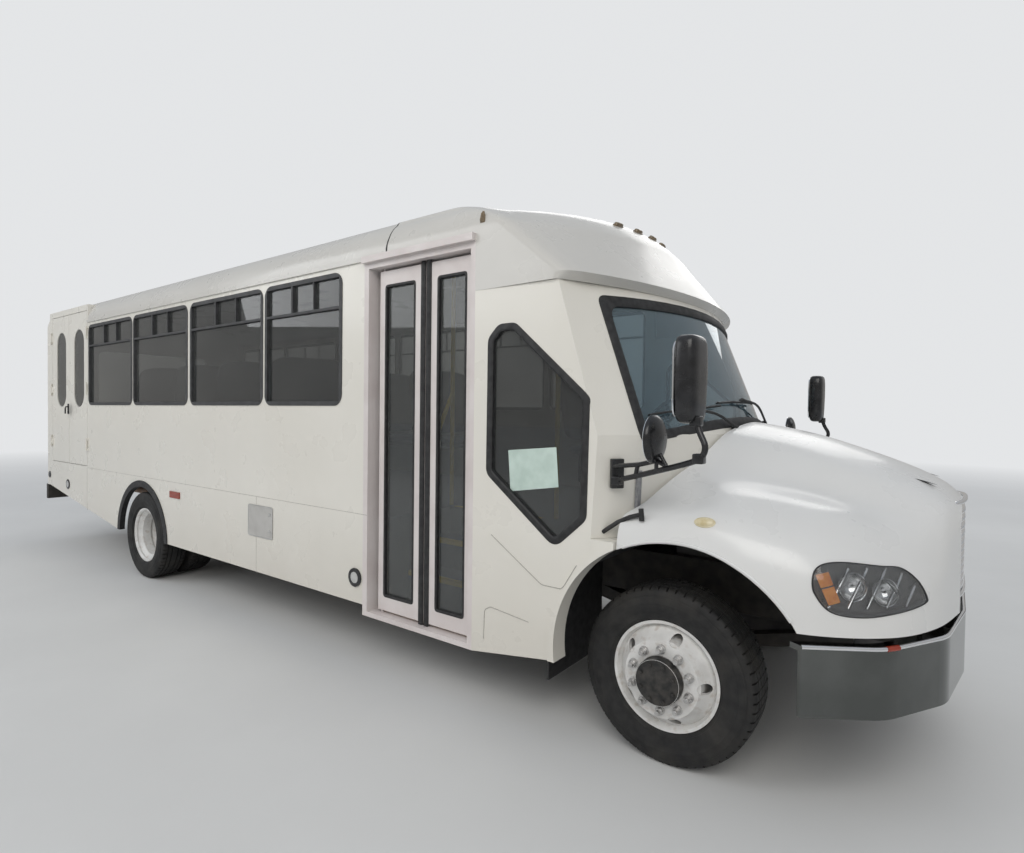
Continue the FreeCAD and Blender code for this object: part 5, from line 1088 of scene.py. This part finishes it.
# Clearance lamps on the cap: five ovals and a wedge on each side, as rows of (share, distance outward)
LAMP_SMOKE = plain("lens_smoke", (0.13, 0.1, 0.07), (0.24, 0.18, 0.11), 60.0, (0.12, 0.25))
BROW_ROWS = ((1.15, -0.006), (1.15, 0.004), (1.0, 0.006), (0.92, 0.016), (0.7, 0.021), (0.1, 0.023))
WEDGE_ROWS = ((1.1, -0.004), (1.1, 0.006), (0.9, 0.01), (0.55, 0.02), (0.1, 0.022))
WEDGE = rounded([(-1, -1), (1, -1), (0.15, 1), (-0.15, 1)], 0.25, 4)
OVAL = superellipse(2, 2, 2 / 0.6, 24)
bodies = []
for y in (-0.38, -0.19, 0.0, 0.19, 0.38):
    hit, normal = struck(cap_tree, (ahead(1.0), y, 2.8), (-1, 0, 0))
    across = (Vector((0, 1, 0)) - normal * normal.y).normalized()
    up = normal.cross(across)
    bodies.append(capped([
        [hit + across * 0.042 * r * u + up * 0.017 * r * v + normal * d for u, v in OVAL]
        for r, d in BROW_ROWS
    ]))
for sign in (-1, 1):
    hit, _ = struck(cap_tree, (ahead(-0.99), sign * 2, 2.7), (0, -sign, 0))
    bodies.append(capped([
        [hit + Vector((0.02 * r * u, 0, 0.032 * r * v)) + Vector((0, sign, 0)) * d for u, v in WEDGE]
        for r, d in WEDGE_ROWS
    ]))
shown("clearance_lamps", bodies, LAMP_SMOKE, 40.0)

# Wipers parked along the foot of the windscreen: pivot, elbow, tip and the blade's line as (across, up)
WIPERS = {
    "right": ((-0.3, 1.575), (-0.49, 1.642), (-0.66, 1.668), (
        (-0.97, 1.642), (-0.83, 1.66), (-0.66, 1.675), (-0.5, 1.688), (-0.38, 1.697),
    )),
    "left": ((0.57, 1.598), (0.24, 1.7), (-0.05, 1.735), (
        (-0.4, 1.712), (-0.2, 1.722), (-0.05, 1.724), (0.1, 1.726), (0.24, 1.722),
    )),
}
for side, (pivot, elbow, tip, blade) in WIPERS.items():
    arm = curve_through([on_cowl(*pivot, 0.028), on_cowl(*elbow, 0.04), on_cowl(*tip, 0.032)])
    parts = [
        tube([on_cowl(*pivot, 0.004), on_cowl(*pivot, 0.034)], 0.017, 14),
        tube(arm, 0.0075, 8),
        tube(curve_through([on_cowl(y, z, 0.012) for y, z in blade], 4), 0.005, 6),
        tube(curve_through([on_cowl(y, z, 0.021) for y, z in blade], 4), 0.0055, 6),
        tube([on_cowl(*tip, 0.034), on_cowl(tip[0] - 0.01, tip[1] - 0.004, 0.016)], 0.011, 8),
    ]
    shown("wiper_" + side, parts, RUBBER, 50.0)

# Foam strip in the gap between hood and cowl
SEAL_GREY = plain("seal_grey", (0.24, 0.24, 0.25), (0.36, 0.36, 0.37), 50.0, (0.5, 0.7))
FOAM = ((-0.006, 0.02), (0.008, 0.02), (0.011, 0.0), (0.008, -0.02), (-0.006, -0.02))
for side, sign in SIDES:
    spots = [on_cowl(sign * 1.04, 1.165 + 0.215 * step / 14, 0.002) for step in range(15)]
    foam = capped([[spot + Vector((dx, sign * dy, 0)) for dx, dy in FOAM] for spot in spots])
    shown("hood_strip_" + side, foam, SEAL_GREY, 40.0)

# Bright bead along the bumper's top edge, with its small red lens
BUMPER = [(0.61, 1.1795), (0.877, 1.005), (1.063, 0.6865), (1.1205, 0.24)]
bead_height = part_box("front_bumper")[1].z - 0.0065  # sunk into the bumper, clear of the tilting hood
plan = [(x, -y) for x, y in BUMPER] + BUMPER[::-1]
bead = [Vector((ahead(point.x), point.y, bead_height)) for point in open_curve(plan, 0.26)]
shown("bumper_bead", tube(bead, 0.0095, 12), CHROME, 60.0)
lens_at = bead[7].lerp(bead[8], 0.5)
along = (bead[8] - bead[7]).normalized()
lens = tube([lens_at + along * shift for shift in (-0.03, -0.024, 0.024, 0.03)], 0.0112, 12)
shown("bumper_lens", lens, RED, 40.0)

# Small fittings of the right side
DISC_GREY = plain("disc_grey", (0.45, 0.45, 0.44), (0.55, 0.55, 0.54), 30.0, (0.3, 0.45))
FILLER, REAR_MARKER = (ahead(-7.259), 0.757), (ahead(-7.889), 0.829)
ring_low, ring_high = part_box("vent_ring")
middle = (ring_low + ring_high) / 2


def boss(x, z, face, profile, sides):
    """A turned form on the right side; profile rows are (radius, distance outward from the face)."""
    return lathe([(radius, face + out) for radius, out in profile], Vector((x, 0, z)), -1, sides)


def disc(radius, at, face, proud):
    """A shallow round boss on the right side."""
    profile = [(radius, -0.004), (radius, proud * 0.6), (radius * 0.93, proud), (0.0008, proud)]
    return boss(*at, face, profile, 28)


shown("vent_core", disc(0.036, (middle.x, middle.z), -ring_low.y, 0.002), DISC_GREY, 40.0)
bosses = [disc(0.058, FILLER, SIDE, 0.006), disc(0.04, REAR_MARKER, SIDE, 0.006)]
shown("side_bosses", bosses, GLOSS, 40.0)
shown("side_boss_discs", disc(0.036, FILLER, SIDE + 0.006, 0.002), DISC_GREY, 40.0)
low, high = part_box("access_door")
LOCK = [(0.013, -0.002), (0.013, 0.002), (0.01, 0.003), (0.001, 0.003)]
locks = [boss(high.x - 0.03, z, -low.y, LOCK, 20) for z in (high.z - 0.05, low.z + 0.05)]
hatch_line = rounded(rectangle(low.x, low.z, high.x, high.z), 0.012, 4)
hatch_rows = [
    [Vector((point.x, low.y - out, point.y)) for point in offset_outline(hatch_line, shift)]
    for shift, out in ((0.007, -0.002), (0.006, 0.0012), (0.001, 0.0015), (0.0, 0.0))
]
shown("hatch_trim", [*locks, strip(hatch_rows)], ALLOY, 40.0)
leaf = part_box("lift_leaf_front")[0]
grip_x = leaf.x + 0.055
handle = [(0.004, 1.665), (0.026, 1.665), (0.032, 1.645), (0.032, 1.585)]
grip = [
    solid_block((grip_x - 0.022, leaf.y - 0.007, 1.58), (grip_x + 0.022, leaf.y + 0.002, 1.7), 0.003),
    tube([(grip_x, leaf.y - out, z) for out, z in handle], 0.0075, 10),
    boss(grip_x, 1.605, -leaf.y, [(0.011, 0.006), (0.011, 0.009), (0.009, 0.01), (0.001, 0.01)], 20),
]
shown("lift_door_grip", grip, GLOSS, 40.0, "lift_door_front")

# Joint line and step of the cab side below its window
SEAM_DARK = plain("seam_sealant", (0.36, 0.34, 0.31), (0.46, 0.44, 0.4), 60.0, (0.6, 0.8))
CAB_LINES = (
    ([(-0.9, 1.0), (-0.575, 0.79), (-0.45, 0.79), (-0.345, 0.96)], 0.05),
    ([(-0.945, 0.43), (-0.94, 0.59), (-0.9, 0.612), (-0.57, 0.575)], 0.03),
)
cab_tree = node_tree("cab_shells")


def on_cab(x, z, sign, out=0.0005):
    """A point on the side of the cab shell, or None beside it."""
    hit, _ = struck(cab_tree, (ahead(x), sign * 2, z), (0, -sign, 0))
    return hit + Vector((0, sign * out, 0)) if hit else None


for side, sign in SIDES:
    lines = []
    for corners, bend in CAB_LINES:
        path = open_curve([(ahead(x), 0, z) for x, z in corners], bend, 6)
        dense = [a.lerp(b, i / 4) for a, b in zip(path, path[1:]) for i in range(4)]
        spots = [on_cab(point.x - ahead(0), point.z, sign) for point in dense]
        lines.append(tube([spot for spot in spots if spot], 0.0022, 6))
    shown("cab_side_lines_" + side, lines, SEAM_DARK, 60.0)

# Sealant of the body's joints
seams = []
for side in (-1, 1):
    inner, outer = side * (SIDE - 0.003), side * (SIDE + 0.0012)
    seams.append(solid_block((ahead(-6.65), inner, 0.9885), (ahead(-1.91), outer, 0.9915), 0.0005, 1))
    for x, foot in ((ahead(-3.2), 0.4), (ahead(-6.66), 0.52)):
        seams.append(solid_block((x - 0.0012, inner, foot), (x + 0.0012, outer, 0.988), 0.0005, 1))
shown("body_seams", seams, SEAM_DARK, 0)

# Stage, lights, camera
BACKDROP = (0.775, 0.787, 0.8)
WORLD_STRENGTH = 0.62


def studio_floor():
    """A pale floor that fades into the background far from the bus."""
    finish = Finish("studio_floor")
    colour = finish.ramp(finish.noise(0.6, 6.0), (0.35, (0.7, 0.7, 0.69)), (0.65, (0.74, 0.74, 0.73)))
    material = finish.surface(colour, (0.8, 0.9), 9.0)
    distance = finish.add("ShaderNodeVectorMath", "Value", {0: finish.place}, operation="LENGTH")
    far = finish.span(distance, 7.0, 24.0, 0.0, 1.0)
    seen = finish.product(far, finish.add("ShaderNodeLightPath", "Is Camera Ray", {}))
    glow = finish.add("ShaderNodeEmission", 0, {"Color": (*BACKDROP, 1)})
    both = finish.add("ShaderNodeMixShader", 0, {0: seen, 1: finish.shader.outputs[0], 2: glow})
    finish.tree.links.new(both, finish.tree.nodes["Material Output"].inputs["Surface"])
    return material


bm = bmesh.new()
bmesh.ops.create_grid(bm, x_segments=2, y_segments=2, size=60.0)
ground = placed("studio_floor", bm)
ground.data.materials.append(studio_floor())

world = bpy.data.worlds.new("studio")
bpy.context.scene.world = world
world.use_nodes = True
sky = Shading(world.node_tree)
height = sky.add("ShaderNodeSeparateXYZ", "Z", {"Vector": sky.add("ShaderNodeTexCoord", "Generated", {})})
gradient = sky.ramp(height, (0.0, (0.62, 0.6, 0.57)), (0.8, (0.72, 0.77, 0.84)))
seen = sky.add("ShaderNodeLightPath", "Is Camera Ray", {})
background = sky.tree.nodes["Background"]
backdrop = sky.mix(seen, gradient, tuple(part / WORLD_STRENGTH for part in BACKDROP))
sky.tree.links.new(backdrop, background.inputs["Color"])
background.inputs["Strength"].default_value = WORLD_STRENGTH


def lamp(name, place, aim, size, power, tint):
    data = bpy.data.lights.new(name, "AREA")
    data.shape = "RECTANGLE"
    data.size, data.size_y = size
    data.energy = power
    data.color = tint
    thing = bpy.data.objects.new(name, data)
    thing.location = place
    thing.rotation_euler = (Vector(aim) - Vector(place)).to_track_quat("-Z", "Y").to_euler()
    bpy.context.scene.collection.objects.link(thing)


lamp("key", (7.0, -9.0, 8.5), (0.5, 0.0, 1.2), (9.0, 6.0), 520.0, (1.0, 0.975, 0.93))
lamp("fill", (-6.0, -8.0, 6.0), (-1.0, 0.0, 1.0), (8.0, 5.0), 240.0, (0.96, 0.98, 1.0))
lamp("far", (0.0, 9.0, 7.0), (0.0, 0.0, 1.0), (10.0, 5.0), 260.0, (1.0, 0.99, 0.97))

CAMERA_AT = (4.5246, -3.6855, 1.6441)
YAW, PITCH, ROLL = 0.6399, -0.021, 0.0124  # radians
FOCAL, SENSOR = 592.96 / 1024, 36.0  # focal length as a share of the sensor's width, and that width in mm
look = Vector((-sin(YAW) * cos(PITCH), cos(YAW) * cos(PITCH), sin(PITCH)))
right = Vector((cos(YAW), sin(YAW), 0.0))
upward = right.cross(look)
tilted_right = right * cos(ROLL) + upward * sin(ROLL)
tilted_up = upward * cos(ROLL) - right * sin(ROLL)
camera_data = bpy.data.cameras.new("camera")
camera_data.sensor_width = SENSOR
camera_data.lens = FOCAL * SENSOR
camera_data.clip_end = 200.0
camera = bpy.data.objects.new("camera", camera_data)
bpy.context.scene.collection.objects.link(camera)
turn = Matrix((tilted_right, tilted_up, -look)).transposed().to_4x4()
camera.matrix_world = Matrix.Translation(CAMERA_AT) @ turn
bpy.context.scene.camera = camera
bpy.context.scene.view_settings.view_transform = "Standard"
